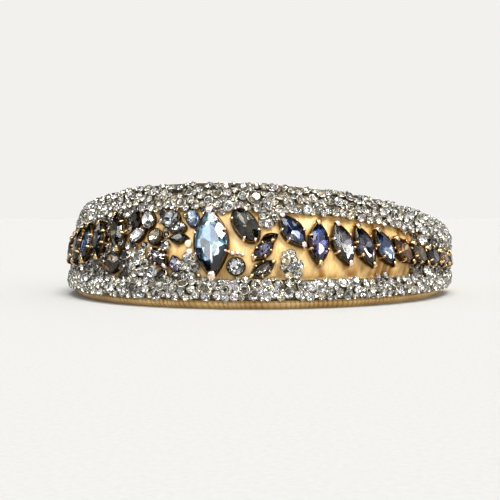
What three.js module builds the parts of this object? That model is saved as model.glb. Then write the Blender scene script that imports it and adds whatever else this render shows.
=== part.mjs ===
// A jewelled bandeau tiara: a stiff padded satin band, open behind, that stands on its level rim.
// Two paved rhinestone borders run along its edges, and claw-set stones fill the field between them.
// Millimetres, +Z up. The front of the tiara looks towards -Y and the wearer's left is +X.
// A place on the band is (angle, up, out): degrees round the head from the front, millimetres up
// the slope from the rim, and millimetres outwards from the surface that the stone tops lie near.

import * as THREE from 'three';

const DEGREE = Math.PI / 180;

// The head form: the band's rim and top edge are ellipses, and the top one falls towards the back.
const RIM = { halfWidth: 83.5, halfDepth: 91.8, centreY: -4.2 };
const TOP = { halfWidth: 83.4, halfDepth: 84, centreY: 5, height: 29, fall: 0.23 };
const SLOPE_RADIUS = 80; // the band is bowed outwards from rim to top with this radius

// The padded band.
const BAND_END = 116; // angle at which the band ends, each side
const BAND_ROUNDING = 12; // degrees over which an end is rounded off
const BAND_CORE = -5.6; // out: the middle of the padding, towards which the ends thin
const SATIN_EDGE = -3; // out: the satin under the borders
const SATIN_FIELD = -2; // out: the satin in the middle of the field
const FULL_CROWN_FIELD = 20; // a field narrower than this is crowned less
const CROWN = [
  { mark: 2.1, share: 0 },
  { mark: 2.45, share: 0.7 },
  { mark: 3, share: 1 },
  { mark: 3.55, share: 0.7 },
  { mark: 3.9, share: 0 },
];
const INNER_FACE = -8.2; // out: the face against the head
const STEP = 4; // degrees between sections, shared by the band and the borders
const LEAST_FULLNESS = 0.35; // a strip's ends are drawn in to this share of its section

// The two borders.
const BORDER_END = 100;
const BORDER_ROUNDING = 8;
const BORDER_SEAT_GAP = 0.35;
const BORDER_CREST = 1.3; // out: the tops of the border stones
const BORDER_WALL = 0.45; // share of a border's height that is upright wall
const BORDER_SHOULDER = 0.8; // share of a border's height at its shoulder
const ROLL = 3.5; // the satin roll left bare under the lower border
const TOP_MARGIN = 0.6; // the top border stops this far under the band's top edge
const LOWER_WIDTH = { base: 5.2, share: 0.052 }; // border width = base + share of the slope height
const UPPER_WIDTH = { base: 5, share: 0.1 };

// A claw-set stone, measured outwards from the foot of its setting.
const FOOT_GAP = 0.5;
const CULET = 0.5;
const GIRDLE_LOW = 1.9;
const GIRDLE_HIGH = 2.3;
const TABLE = 3.6;
const TABLE_SHARE = 0.56; // the table's share of the outline
const SETTING_GAP = 0.42;
const SETTING_WALL = 0.5;
const SETTING_HEIGHT = 2.2;
const SETTING_CREST = 2.4;
const CLAW_HEIGHT = 3.2;
const CLAW_REACH = 0.96; // share of the outline at which a claw ends, over the girdle
const CLAW_FROM = 0.8; // a claw stands where the outline's height is between these shares
const CLAW_TO = 0.97;
const OUTLINE_SIDES = 12;

// A stone in a closed cup, measured the same way.
const CUP_HEIGHT = 1.8;
const CUP_GIRDLE = 2.1;
const CUP_TABLE = 3.3;

const COLOURS = {
  satin: 0xb98a3c,
  crystal: 0xdfe3e6,
  gold: 0xc9a15a,
  ice: 0x9fbfe0,
  smoke: 0x3b342f,
  blue: 0x2f4a78,
  lavender: 0x857f9c,
  amber: 0x8a5a22,
  pearl: 0xe9e4d6,
};

// The rows of a table as objects, each cell under its column's name.
function tableOf(columns, rows) {
  return rows.map((row) => Object.fromEntries(columns.map((column, i) => [column, row[i]])));
}

const STONE_COLUMNS = ['name', 'shape', 'angle', 'up', 'length', 'width', 'lean', 'colour'];

// Large stones, each with a claw setting of its own.
const STONES = tableOf(STONE_COLUMNS, [
  ['front', 'navette', 3, 25.2, 26.5, 12, -7, 'ice'],
  ['right_01', 'oval', 11, 31.8, 14, 7.6, -32, 'smoke'],
  ['right_02', 'navette', 15.9, 22.5, 9.6, 4.2, 45, 'lavender'],
  ['right_03', 'navette', 16.1, 15.3, 9.6, 4.2, 57, 'smoke'],
  ['right_04', 'navette', 22.5, 29.7, 14, 7, -32, 'blue'],
  ['right_05', 'navette', 29.2, 25, 16, 7, 4, 'blue'],
  ['right_06', 'navette', 35.6, 24.6, 16, 7.4, -12, 'crystal'],
  ['right_07', 'navette', 41.8, 23.6, 16, 7, -18, 'smoke'],
  ['right_08', 'navette', 48, 23, 15, 7, -25, 'blue'],
  ['right_09', 'navette', 54.8, 21.5, 12.5, 6.5, -42, 'amber'],
  ['right_10', 'navette', 61.6, 20, 12, 6, -47, 'smoke'],
  ['right_11', 'navette', 69, 18.7, 12, 6, -58, 'smoke'],
  ['right_12', 'navette', 77, 17.5, 11, 5.5, -60, 'amber'],
  ['right_13', 'navette', 84.6, 16.3, 10, 5, -65, 'smoke'],
  ['left_01', 'navette', -10.4, 19.2, 9, 4.4, -46, 'smoke'],
  ['left_02', 'navette', -25.5, 28.9, 16, 7, -28, 'smoke'],
  ['left_03', 'navette', -33, 25.4, 15, 7, -20, 'smoke'],
  ['left_04', 'navette', -40, 24, 15, 7, -12, 'blue'],
  ['left_05', 'navette', -47, 22.6, 14, 7, 4, 'smoke'],
  ['left_06', 'navette', -54, 21.2, 13, 6.5, 20, 'amber'],
  ['left_07', 'navette', -61.4, 20, 12.5, 6, 38, 'smoke'],
  ['left_08', 'navette', -69, 18.7, 12, 6, 52, 'blue'],
  ['left_09', 'navette', -77, 17.5, 11, 5.5, 60, 'smoke'],
  ['left_10', 'navette', -84.6, 16.3, 10, 5, 65, 'amber'],
]);

// Small stones that are sewn on in closed cups: each is one piece with its cup.
const CUPPED_STONES = tableOf(STONE_COLUMNS, [
  ['cupped_round_right', 'oval', 9.6, 16.4, 6.2, 6.2, 0, 'crystal'],
  ['cupped_round_left', 'oval', -8.6, 34.2, 6.8, 6.8, 0, 'crystal'],
  ['cupped_pear_left', 'pear', -15.6, 34, 8.5, 5.5, -31, 'pearl'],
  ['cupped_oval_left', 'oval', -12.3, 27.3, 6, 5.6, -20, 'smoke'],
  ['cupped_round_side', 'oval', -26.2, 16.8, 8, 8, 0, 'smoke'],
]);

// Motifs paved with small stones, that grow out of a border into the field.
const PAVED_MOTIFS = tableOf(['name', 'angle', 'up', 'length', 'width', 'lean'], [
  ['paved_drop', 16.2, 34.5, 6.6, 7, -15],
  ['paved_leaf_right', 23, 16.9, 10.5, 7, -18],
  ['paved_leaf_left', -17, 16.9, 10.5, 7.5, -12],
  ['paved_cluster', -2.6, 16.3, 9, 7, -12],
]);
const MOTIF_HEIGHT = 3.6;

function between(from, to, share) {
  return from + (to - from) * share;
}

// The two edges of the band at an angle, and the slope height between them.
function edges(angle) {
  const side = Math.sin(angle * DEGREE);
  const front = Math.cos(angle * DEGREE);
  const rim = new THREE.Vector3(RIM.halfWidth * side, RIM.centreY - RIM.halfDepth * front, 0);
  const topY = TOP.centreY - TOP.halfDepth * front;
  const top = new THREE.Vector3(TOP.halfWidth * side, topY, TOP.height - TOP.fall * topY);
  const outwards = new THREE.Vector3(RIM.halfDepth * side, -RIM.halfWidth * front, 0).normalize();
  return { rim, top, outwards, slope: rim.distanceTo(top) };
}

// A place on the band as a point in space. Outwards is level, so that the rim stays flat.
function place(angle, up, out) {
  const { rim, top, outwards, slope } = edges(angle);
  const share = up / slope;
  const bow = (slope * slope) / (8 * SLOPE_RADIUS) * 4 * share * (1 - share);
  return rim.lerp(top, share).addScaledVector(outwards, out + bow);
}

// The marks up the slope that divide the band: rim, roll, lower border, middle of the field,
// upper border, margin and top edge.
function marksFor(slope) {
  const lowerTop = ROLL + LOWER_WIDTH.base + LOWER_WIDTH.share * slope;
  const upperTop = slope - TOP_MARGIN;
  const upperFoot = upperTop - UPPER_WIDTH.base - UPPER_WIDTH.share * slope;
  return [0, ROLL, lowerTop, (lowerTop + upperFoot) / 2, upperFoot, upperTop, slope];
}

// The height up the slope of a place between marks: 2.5 is half way from mark 2 to mark 3.
function upAtMark(slope, mark) {
  const marks = marksFor(slope);
  const below = Math.min(Math.floor(mark), marks.length - 2);
  return between(marks[below], marks[below + 1], mark - below);
}

// The satin's height over its edge where its crown has a given share, at one slope height.
function crownedSatin(share, slope) {
  const marks = marksFor(slope);
  const fieldShare = Math.min(1, (marks[4] - marks[2]) / FULL_CROWN_FIELD);
  return between(SATIN_EDGE, SATIN_FIELD, share * fieldShare);
}

// How far out the satin lies at a place up the slope.
function satinAt(up, slope) {
  const marks = marksFor(slope);
  let below = 0;
  while (below < marks.length - 2 && up > marks[below + 1]) below += 1;
  const mark = below + (up - marks[below]) / (marks[below + 1] - marks[below]);
  let share = 0;
  for (let row = 0; row < CROWN.length - 1; row += 1) {
    const [from, to] = [CROWN[row], CROWN[row + 1]];
    if (mark >= from.mark && mark <= to.mark) {
      share = between(from.share, to.share, (mark - from.mark) / (to.mark - from.mark));
    }
  }
  return crownedSatin(share, slope);
}

// How much of its section a strip keeps at an angle: all of it, then less round a quarter circle.
function fullness(angle, end, rounding) {
  const past = Math.max(0, Math.abs(angle) - (end - rounding)) / rounding;
  return Math.max(LEAST_FULLNESS, Math.sqrt(1 - past * past));
}

// A strip that runs round the band: a flat section of [mark, out] points, carried through the
// angles from -end to +end and laid on the head form. Towards its ends it draws in to its core.
// A satin point over the edge height follows the crown, which is lower where the field is narrow.
function strip(section, { end, rounding, coreMark, coreOut, isSatin = false }) {
  const outline = new THREE.Shape(section.map(([x, y]) => new THREE.Vector2(x, y)));
  const geometry = new THREE.ExtrudeGeometry(outline, {
    depth: 2 * end,
    steps: Math.round((2 * end) / STEP),
    bevelEnabled: false,
  });
  const position = geometry.attributes.position;
  for (let i = 0; i < position.count; i += 1) {
    const angle = position.getZ(i) - end;
    const { slope } = edges(angle);
    const full = fullness(angle, end, rounding);
    const up = between(upAtMark(slope, coreMark), upAtMark(slope, position.getX(i)), full);
    const drawn = position.getY(i);
    const crown = (drawn - SATIN_EDGE) / (SATIN_FIELD - SATIN_EDGE);
    const out = between(coreOut, isSatin && crown > 0 ? crownedSatin(crown, slope) : drawn, full);
    const point = place(angle, up, out);
    position.setXYZ(i, point.x, point.y, point.z);
  }
  geometry.computeVertexNormals();
  return geometry;
}

// The padded band: flat rim, rolled lower edge, crowned field, rounded top edge, inner face.
function bandGeometry() {
  const section = [
    [0, -7.4],
    [0, -4.4],
    [0.3, -3.5],
    [0.85, SATIN_EDGE],
    ...CROWN.map(({ mark, share }) => [mark, between(SATIN_EDGE, SATIN_FIELD, share)]),
    [4.75, SATIN_EDGE - 0.1],
    [5, -3.9],
    [6, -5.2],
    [6, -6.3],
    [5, -7.6],
    [4.7, INNER_FACE],
    [3, INNER_FACE],
    [0.85, INNER_FACE],
    [0.3, -8],
  ];
  return strip(section, {
    end: BAND_END,
    rounding: BAND_ROUNDING,
    coreMark: 3,
    coreOut: BAND_CORE,
    isSatin: true,
  });
}

// A paved border from one mark to the next: low walls and a domed top.
function borderGeometry(mark) {
  const seat = SATIN_EDGE + BORDER_SEAT_GAP;
  const wall = between(seat, BORDER_CREST, BORDER_WALL);
  const shoulder = between(seat, BORDER_CREST, BORDER_SHOULDER);
  const section = [
    [mark, seat],
    [mark, wall],
    [mark + 0.14, shoulder],
    [mark + 0.38, BORDER_CREST],
    [mark + 0.62, BORDER_CREST],
    [mark + 0.86, shoulder],
    [mark + 1, wall],
    [mark + 1, seat],
  ];
  return strip(section, {
    end: BORDER_END,
    rounding: BORDER_ROUNDING,
    coreMark: mark + 0.5,
    coreOut: seat,
  });
}

// A stone's outline at an angle round it, for a half width and a half length.
function outlinePoint(shape, around, halfWidth, halfLength) {
  const across = Math.cos(around);
  const along = Math.sin(around);
  const pointed = shape === 'navette' || (shape === 'pear' && along > 0);
  const x = pointed ? across * Math.abs(across) : across;
  return [halfWidth * x, halfLength * along];
}

// A turned profile of [radius, height] points, fitted to a stone's outline. Up to a radius of 1 it
// is that share of the outline, and past 1 it is the outline made larger by the rest, in mm.
// The function shaped may move a point of the profile at some places round the stone.
function fitted(profile, { shape, length, width }, shaped = (radius, height) => [radius, height]) {
  const points = profile.map(([x, y]) => new THREE.Vector2(x, y));
  const geometry = new THREE.LatheGeometry(points, OUTLINE_SIDES);
  geometry.rotateX(Math.PI / 2);
  const position = geometry.attributes.position;
  for (let i = 0; i < position.count; i += 1) {
    const around = Math.atan2(position.getY(i), position.getX(i));
    const turned = Math.hypot(position.getX(i), position.getY(i));
    const [radius, height] = shaped(turned, position.getZ(i), around);
    const share = Math.min(1, radius);
    const extra = Math.max(0, radius - 1);
    const [x, y] = outlinePoint(shape, around, width / 2 + extra, length / 2 + extra);
    position.setXYZ(i, x * share, y * share, height);
  }
  return geometry;
}

// A cut stone: culet, girdle and table.
function stoneGeometry(stone) {
  return fitted([[0, CULET], [1, GIRDLE_LOW], [1, GIRDLE_HIGH], [TABLE_SHARE, TABLE], [0, TABLE]], stone);
}

// An open collar round the stone, whose crest rises into four claws that lean in over the girdle.
function settingGeometry(stone) {
  const inner = 1 + SETTING_GAP;
  const outer = inner + SETTING_WALL;
  const crest = (inner + outer) / 2;
  const profile = [
    [inner, 0],
    [outer, 0],
    [outer, SETTING_HEIGHT],
    [crest, SETTING_CREST],
    [inner, SETTING_HEIGHT],
    [inner, 0],
  ];
  return fitted(profile, stone, (radius, height, around) => {
    const along = Math.abs(Math.sin(around));
    const atClaw = along > CLAW_FROM && along < CLAW_TO;
    const atCrest = height > (SETTING_HEIGHT + SETTING_CREST) / 2;
    return atClaw && atCrest ? [CLAW_REACH, CLAW_HEIGHT] : [radius, height];
  });
}

// A small stone that fills its closed cup, as one solid.
function cuppedGeometry(stone) {
  const rim = 1 + SETTING_WALL;
  const profile = [
    [0, 0],
    [rim, 0],
    [rim, CUP_HEIGHT],
    [1, CUP_GIRDLE],
    [TABLE_SHARE, CUP_TABLE],
    [0, CUP_TABLE],
  ];
  return fitted(profile, stone);
}

// A paved motif is a low dome.
function motifGeometry(motif) {
  const profile = [[0, 0], [1, 0], [1, 0.4], [0.85, 0.75], [0.5, 0.95], [0, 1]];
  const heights = profile.map(([radius, share]) => [radius, share * MOTIF_HEIGHT]);
  return fitted(heights, { shape: 'oval', length: motif.length, width: motif.width });
}

// Stands a piece on the satin: its own z looks out of the band and its y up the slope.
function seat(mesh, { angle, up, lean }) {
  const small = 0.5;
  const across = place(angle + small, up, 0).sub(place(angle - small, up, 0)).normalize();
  const upwards = place(angle, up + small, 0).sub(place(angle, up - small, 0));
  const facing = across.clone().cross(upwards).normalize();
  const squareUp = facing.clone().cross(across);
  mesh.quaternion.setFromRotationMatrix(new THREE.Matrix4().makeBasis(across, squareUp, facing));
  mesh.rotateZ(-lean * DEGREE);
  const satin = satinAt(up, edges(angle).slope);
  mesh.position.copy(place(angle, up, satin)).addScaledVector(facing, FOOT_GAP);
  return mesh;
}

function finish(colour, roughness, metalness) {
  return new THREE.MeshStandardMaterial({ color: COLOURS[colour], roughness, metalness });
}

function named(name, geometry, material) {
  const mesh = new THREE.Mesh(geometry, material);
  mesh.name = name;
  return mesh;
}

const tiara = new THREE.Group();
tiara.add(named('satin_band', bandGeometry(), finish('satin', 0.45, 0)));

tiara.add(named('lower_rhinestone_border', borderGeometry(1), finish('crystal', 0.1, 0.3)));
tiara.add(named('upper_rhinestone_border', borderGeometry(4), finish('crystal', 0.1, 0.3)));

for (const stone of STONES) {
  const cut = named(`stone_${stone.name}`, stoneGeometry(stone), finish(stone.colour, 0.05, 0.1));
  const claws = named(`claws_${stone.name}`, settingGeometry(stone), finish('gold', 0.25, 1));
  tiara.add(seat(cut, stone));
  tiara.add(seat(claws, stone));
}
for (const stone of CUPPED_STONES) {
  tiara.add(seat(named(stone.name, cuppedGeometry(stone), finish(stone.colour, 0.08, 0.2)), stone));
}
for (const motif of PAVED_MOTIFS) {
  tiara.add(seat(named(motif.name, motifGeometry(motif), finish('crystal', 0.1, 0.3)), motif));
}

// The origin is under the middle of the whole tiara, on the surface that its rim stands on.
const box = new THREE.Box3().setFromObject(tiara, true);
tiara.position.set(-(box.min.x + box.max.x) / 2, -(box.min.y + box.max.y) / 2, 0);

export default tiara;
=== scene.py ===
"""Looks for a jewelled bandeau tiara, laid out as an add-on and run as a script.

A stiff padded band in gold satin carries two borders of claw-set rhinestones, and foil-backed
navettes in claw settings fill the field between them. The functions below work in millimetres in
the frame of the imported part, and each finished mesh is brought to metres as it is made an object.
"""

import math
import random
from collections import namedtuple

import bmesh
import bpy
import numpy as np
from mathutils import Euler, Matrix, Vector, noise


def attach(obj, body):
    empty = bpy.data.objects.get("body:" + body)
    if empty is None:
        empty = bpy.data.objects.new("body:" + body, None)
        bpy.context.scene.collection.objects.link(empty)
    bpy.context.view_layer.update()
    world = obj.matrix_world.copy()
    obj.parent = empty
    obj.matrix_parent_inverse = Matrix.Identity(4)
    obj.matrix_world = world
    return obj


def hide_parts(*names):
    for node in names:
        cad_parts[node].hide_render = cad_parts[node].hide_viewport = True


bl_info = {
    "name": "Jewelled Bandeau Tiara",
    "version": (1, 0, 0),
    "blender": (4, 5, 0),
    "location": "View3D > Sidebar > Tiara",
    "description": "Satin, crystal and gold looks for a padded bandeau tiara",
    "category": "Add Mesh",
}

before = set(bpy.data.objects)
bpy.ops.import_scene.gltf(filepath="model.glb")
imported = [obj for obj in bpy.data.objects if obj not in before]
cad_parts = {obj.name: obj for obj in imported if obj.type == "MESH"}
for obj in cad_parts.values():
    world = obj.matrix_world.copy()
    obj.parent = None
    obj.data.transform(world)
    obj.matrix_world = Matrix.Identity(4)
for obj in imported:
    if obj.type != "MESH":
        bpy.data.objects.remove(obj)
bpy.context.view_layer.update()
BODY = "root"
MM = 0.001

# The head form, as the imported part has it: rim and top edge are ellipses.
RIM_HALF_WIDTH, RIM_HALF_DEPTH, RIM_CENTRE_Y = 83.5, 91.8, -4.2
TOP_HALF_WIDTH, TOP_HALF_DEPTH, TOP_CENTRE_Y = 83.4, 84.0, 5.0
TOP_HEIGHT, TOP_FALL = 29.0, 0.23
SLOPE_RADIUS = 80.0
RIM_OUT = -4.4  # how far out the rim's flat outer corner lies

# The padded band and the marks up its slope.
BAND_END, BAND_ROUNDING, BAND_CORE = 116.0, 12.0, -5.6
SATIN_EDGE, SATIN_FIELD, FULL_CROWN_FIELD = -3.0, -2.0, 20.0
ROLL, TOP_MARGIN = 3.5, 0.6
LOWER_BASE, LOWER_SHARE = 5.2, 0.052
UPPER_BASE, UPPER_SHARE = 5.0, 0.1
BORDER_END, BORDER_ROUNDING = 100.0, 8.0
BORDER_SEAT, BORDER_CREST = -2.65, 1.3

# A claw-set stone, measured outwards from the foot of its setting.
FOOT_GAP = 0.5
CULET, GIRDLE_LOW, GIRDLE_HIGH, TABLE = 0.5, 1.9, 2.3, 3.6
SETTING_GAP, SETTING_WALL, SETTING_HEIGHT = 0.3, 0.45, 2.2

Stone = namedtuple("Stone", "name shape angle up length width lean slot low middle high")

# Each stone's place, size and lean, the glass it is cut from, and the tint of its foil at foot, middle and
# tip, partly the stone's own colour and partly painted reflection and shade.
STONES = [
    Stone(*row)
    for row in (
        ("front", "navette", 3, 25.2, 26.5, 12, -7, "ice", "#040506", "#CFE6FF", "#B8D6FA"),
        ("right_01", "oval", 11, 31.8, 14, 7.6, -32, "smoke", "#4A4428", "#23251F", "#74766E"),
        ("right_02", "navette", 15.9, 22.5, 9.6, 4.2, 45, "lavender", "#6A6C84", "#8C8AA0", "#A9AEBC"),
        ("right_03", "navette", 16.1, 15.3, 9.6, 4.2, 57, "smoke", "#1A100C", "#2A211C", "#5A4A20"),
        ("right_04", "navette", 22.5, 29.7, 14, 7, -32, "blue", "#9A9CB4", "#24324E", "#3E5680"),
        ("right_05", "navette", 29.2, 25, 16, 7, 4, "blue", "#A48CAE", "#9C94BC", "#2E5EA6"),
        ("right_06", "navette", 35.6, 24.6, 16, 7.4, -12, "clear", "#EAE4D4", "#B9B2BE", "#2E2620"),
        ("right_07", "navette", 41.8, 23.6, 16, 7, -18, "smoke", "#56422E", "#AFB6D6", "#33261C"),
        ("right_08", "navette", 48, 23, 15, 7, -25, "blue", "#D4DAE0", "#3C5E98", "#20160E"),
        ("right_09", "navette", 54.8, 21.5, 12.5, 6.5, -42, "amber", "#7A5020", "#A87434", "#E0B060"),
        ("right_10", "navette", 61.6, 20, 12, 6, -47, "smoke", "#3A2E22", "#7A6444", "#B8A888"),
        ("right_11", "navette", 69, 18.7, 12, 6, -58, "smoke", "#2A1E16", "#4A3A5E", "#1C1612"),
        ("right_12", "navette", 77, 17.5, 11, 5.5, -60, "amber", "#7A5020", "#A87434", "#C89850"),
        ("right_13", "navette", 84.6, 16.3, 10, 5, -65, "smoke", "#3A2E22", "#6A5A44", "#A89880"),
        ("left_01", "navette", -10.4, 19.2, 9, 4.4, -46, "smoke", "#15100C", "#2A1E16", "#A7A2B8"),
        ("left_02", "navette", -25.5, 28.9, 16, 7, -28, "smoke", "#3A3026", "#5C5A48", "#14130F"),
        ("left_03", "navette", -33, 25.4, 15, 7, -20, "smoke", "#9AA39A", "#2A2C22", "#14130F"),
        ("left_04", "navette", -40, 24, 15, 7, -12, "blue", "#2A2C34", "#6C7C9A", "#14161C"),
        ("left_05", "navette", -47, 22.6, 14, 7, 4, "smoke", "#4A3C2A", "#78705A", "#14130F"),
        ("left_06", "navette", -54, 21.2, 13, 6.5, 20, "amber", "#7A4416", "#6A421A", "#2A1A0C"),
        ("left_07", "navette", -61.4, 20, 12.5, 6, 38, "smoke", "#3A3026", "#5C4A34", "#14130F"),
        ("left_08", "navette", -69, 18.7, 12, 6, 52, "blue", "#2A2C34", "#5C6C8A", "#14161C"),
        ("left_09", "navette", -77, 17.5, 11, 5.5, 60, "smoke", "#2A1E16", "#4A3A2E", "#1C1612"),
        ("left_10", "navette", -84.6, 16.3, 10, 5, 65, "amber", "#6E3F12", "#7A4A1C", "#4A2C10"),
    )
]

CUPPED_STONES = [
    Stone(*row)
    for row in (
        ("cupped_round_right", "oval", 9.6, 16.4, 6.2, 6.2, 0, "clear", "#E8F4F8", "#DCE8E4", "#FFFFFF"),
        ("cupped_round_left", "oval", -8.6, 34.2, 6.8, 6.8, 0, "clear", "#D8E8F8", "#B8C8D8", "#FFFFFF"),
        ("cupped_pear_left", "pear", -15.6, 34, 8.5, 5.5, -31, "clear", "#F4F4F0", "#FFFFFF", "#E4E2DA"),
        ("cupped_oval_left", "oval", -12.3, 27.3, 6, 5.6, -20, "smoke", "#6A6050", "#A09684", "#C8BEA8"),
        ("cupped_round_side", "oval", -26.2, 16.8, 8, 8, 0, "smoke", "#5A3A1C", "#2C2018", "#C8B8A0"),
    )
]

# Small stones sewn to the satin between the large ones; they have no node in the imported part.
ACCENTS = [
    Stone(*row)
    for row in (
        ("accent_blue", "oval", -2.8, 34.8, 7.5, 4.5, -25, "ice", "#9CB0D0", "#D8E2F0", "#B0C0D8"),
        ("accent_pale", "oval", -6.4, 31, 4.5, 6.5, 0, "clear", "#E8ECE8", "#FFFFFF", "#D0DCE4"),
        ("accent_dark", "navette", -5.6, 27, 7.3, 3.5, 84, "smoke", "#16120E", "#2A2420", "#4A4238"),
        ("accent_leaf", "pear", -18.2, 28, 7.5, 5, 60, "clear", "#FFFFFF", "#E4E8EC", "#F4F4F4"),
        ("accent_shadow", "navette", -20, 34.5, 9, 4.5, -22, "smoke", "#14120E", "#3A382E", "#14120E"),
        ("accent_lavender", "pear", -6, 17.2, 6, 4.2, -23, "lavender", "#9896AC", "#D8D6E4", "#F0F0FF"),
        ("accent_white", "pear", -24.5, 22.8, 8, 5, 40, "clear", "#FFFFFF", "#E8ECEC", "#B8BCBC"),
        ("accent_small", "navette", 17, 26.8, 7, 3.5, 62, "smoke", "#3A2A12", "#4A3A1A", "#2A2010"),
    )
]

Motif = namedtuple("Motif", "name angle up length width lean")
MOTIFS = [
    Motif(*row)
    for row in (
        ("paved_drop", 16.2, 34.5, 6.6, 7, -15),
        ("paved_leaf_right", 23, 16.9, 10.5, 7, -18),
        ("paved_leaf_left", -17, 16.9, 10.5, 7.5, -12),
        ("paved_cluster", -2.6, 16.3, 9, 7, -12),
    )
]
MOTIF_HEIGHT, MOTIF_FALL = 3.6, 1.3  # of the tables in the middle, and how much lower at the rim
MOTIF_LEAN, MOTIF_JITTER = 34, 12  # degrees at the rim, and by which the setter's hand is out
MOTIF_PAVING = ((3.3, 60), (2.9, 120), (2.5, 200), (2.1, 300), (1.8, 300))

GLASS_TINTS = {
    "clear": "#FDFEFF",
    "ice": "#E3F0FF",
    "smoke": "#E6DED4",
    "blue": "#E4EBFC",
    "lavender": "#ECE8F8",
    "amber": "#F2D8AC",
}


def linear(colour):
    """An sRGB hex value, or a linear colour picked by the user, as linear RGBA."""
    if not isinstance(colour, str):
        return (*colour, 1.0)
    parts = [int(colour[i : i + 2], 16) / 255 for i in (1, 3, 5)]
    return tuple(c / 12.92 if c <= 0.04045 else ((c + 0.055) / 1.055) ** 2.4 for c in parts) + (1.0,)


# ---------------------------------------------------------------- the head form


def band_depth_offset():
    """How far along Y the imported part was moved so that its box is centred."""
    rim = [v.co.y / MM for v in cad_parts["satin_band"].data.vertices if v.co.z < 1e-6]
    return min(rim) - (RIM_CENTRE_Y - RIM_HALF_DEPTH - RIM_OUT)


OFFSET_Y = band_depth_offset()


def edges_at(angle):
    """Rim, top edge, level outward direction and slope height at an angle or an array of them."""
    side, front = np.sin(np.radians(angle)), np.cos(np.radians(angle))
    zero = np.zeros_like(side)
    rim = np.stack([RIM_HALF_WIDTH * side, RIM_CENTRE_Y - RIM_HALF_DEPTH * front, zero], -1)
    top_y = TOP_CENTRE_Y - TOP_HALF_DEPTH * front
    top = np.stack([TOP_HALF_WIDTH * side, top_y, TOP_HEIGHT - TOP_FALL * top_y], -1)
    outwards = np.stack([RIM_HALF_DEPTH * side, -RIM_HALF_WIDTH * front, zero], -1)
    outwards = outwards / np.linalg.norm(outwards, axis=-1, keepdims=True)
    return rim, top, outwards, np.linalg.norm(top - rim, axis=-1)


def place(angle, up, out):
    """A place on the band: degrees round, millimetres up the slope, millimetres outwards."""
    angle, up, out = np.broadcast_arrays(*(np.asarray(v, float) for v in (angle, up, out)))
    rim, top, outwards, slope = edges_at(angle)
    share = (up / slope)[..., None]
    bow = (slope**2 / (8 * SLOPE_RADIUS))[..., None] * 4 * share * (1 - share)
    point = rim + (top - rim) * share + outwards * (out[..., None] + bow)
    return point + np.array((0.0, OFFSET_Y, 0.0))


def marks_at(slope):
    """Rim, roll, lower border, mid field, upper border, margin and top edge, in mm up the slope."""
    lower_top = ROLL + LOWER_BASE + LOWER_SHARE * slope
    upper_top = slope - TOP_MARGIN
    upper_foot = upper_top - UPPER_BASE - UPPER_SHARE * slope
    zero = slope * 0
    marks = [zero, zero + ROLL, lower_top, (lower_top + upper_foot) / 2, upper_foot, upper_top, slope]
    return np.stack(marks, -1)


def marks_round(angle):
    """The marks at an angle round the band, or at an array of them."""
    return marks_at(edges_at(angle)[3])


def at_mark(marks, mark):
    """The height up the slope of a mark: 2.5 is half way from mark 2 to mark 3."""
    below = min(int(mark), marks.shape[-1] - 2)
    return marks[..., below] + (marks[..., below + 1] - marks[..., below]) * (mark - below)


CROWN = ((2.1, 0.0), (2.45, 0.7), (3.0, 1.0), (3.55, 0.7), (3.9, 0.0))


def crown_height(share, slope):
    """The satin's place out where its crown has a given share, lower where the field is narrow."""
    marks = marks_at(slope)
    field = np.minimum(1, (marks[..., 4] - marks[..., 2]) / FULL_CROWN_FIELD)
    return SATIN_EDGE + (SATIN_FIELD - SATIN_EDGE) * share * field


def satin_out(angle, up):
    """How far out the satin lies under a stone."""
    slope = edges_at(np.float64(angle))[3]
    marks = marks_at(slope)
    heights = [float(at_mark(marks, mark)) for mark, share in CROWN]
    share = np.interp(up, heights, [share for mark, share in CROWN])
    return float(crown_height(share, slope))


def surface_frame(angle, up, out):
    """A frame on the band: x runs along it, y up the slope and z outwards."""
    small = 0.5
    across = Vector(place(angle + small, up, 0) - place(angle - small, up, 0)).normalized()
    upwards = Vector(place(angle, up + small, 0) - place(angle, up - small, 0))
    facing = across.cross(upwards).normalized()
    turned = Matrix((across, facing.cross(across), facing)).transposed().to_4x4()
    return Matrix.Translation(Vector(place(angle, up, out))) @ turned


def seat(item):
    """The frame of a stone or motif that stands on the satin."""
    base = surface_frame(item.angle, item.up, satin_out(item.angle, item.up))
    return base @ Matrix.Translation((0, 0, FOOT_GAP)) @ Matrix.Rotation(math.radians(-item.lean), 4, "Z")


# ---------------------------------------------------------------- materials


def add_node(tree, kind, inputs=None, stops=(), **settings):
    """Adds a node with its settings, sets or links its inputs by name or number, and gives a ramp
    its (place, colour or grey) stops."""
    made = tree.nodes.new(kind)
    for key, value in settings.items():
        setattr(made, key, value)
    for number, (spot, colour) in enumerate(stops):
        elements = made.color_ramp.elements
        element = elements[number] if number < len(elements) else elements.new(spot)
        element.position = spot
        element.color = (colour, colour, colour, 1) if isinstance(colour, (int, float)) else linear(colour)
    for socket, value in (inputs or {}).items():
        if isinstance(value, bpy.types.NodeSocket):
            tree.links.new(value, made.inputs[socket])
        else:
            made.inputs[socket].default_value = value
    return made


def new_material(name):
    """A new node material, and its tree, still empty."""
    material = bpy.data.materials.new(name)
    material.use_nodes = True
    material.node_tree.nodes.clear()
    return material, material.node_tree


def finish_material(tree, shader):
    """Ends the tree in its output."""
    add_node(tree, "ShaderNodeOutputMaterial", {"Surface": shader})


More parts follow.
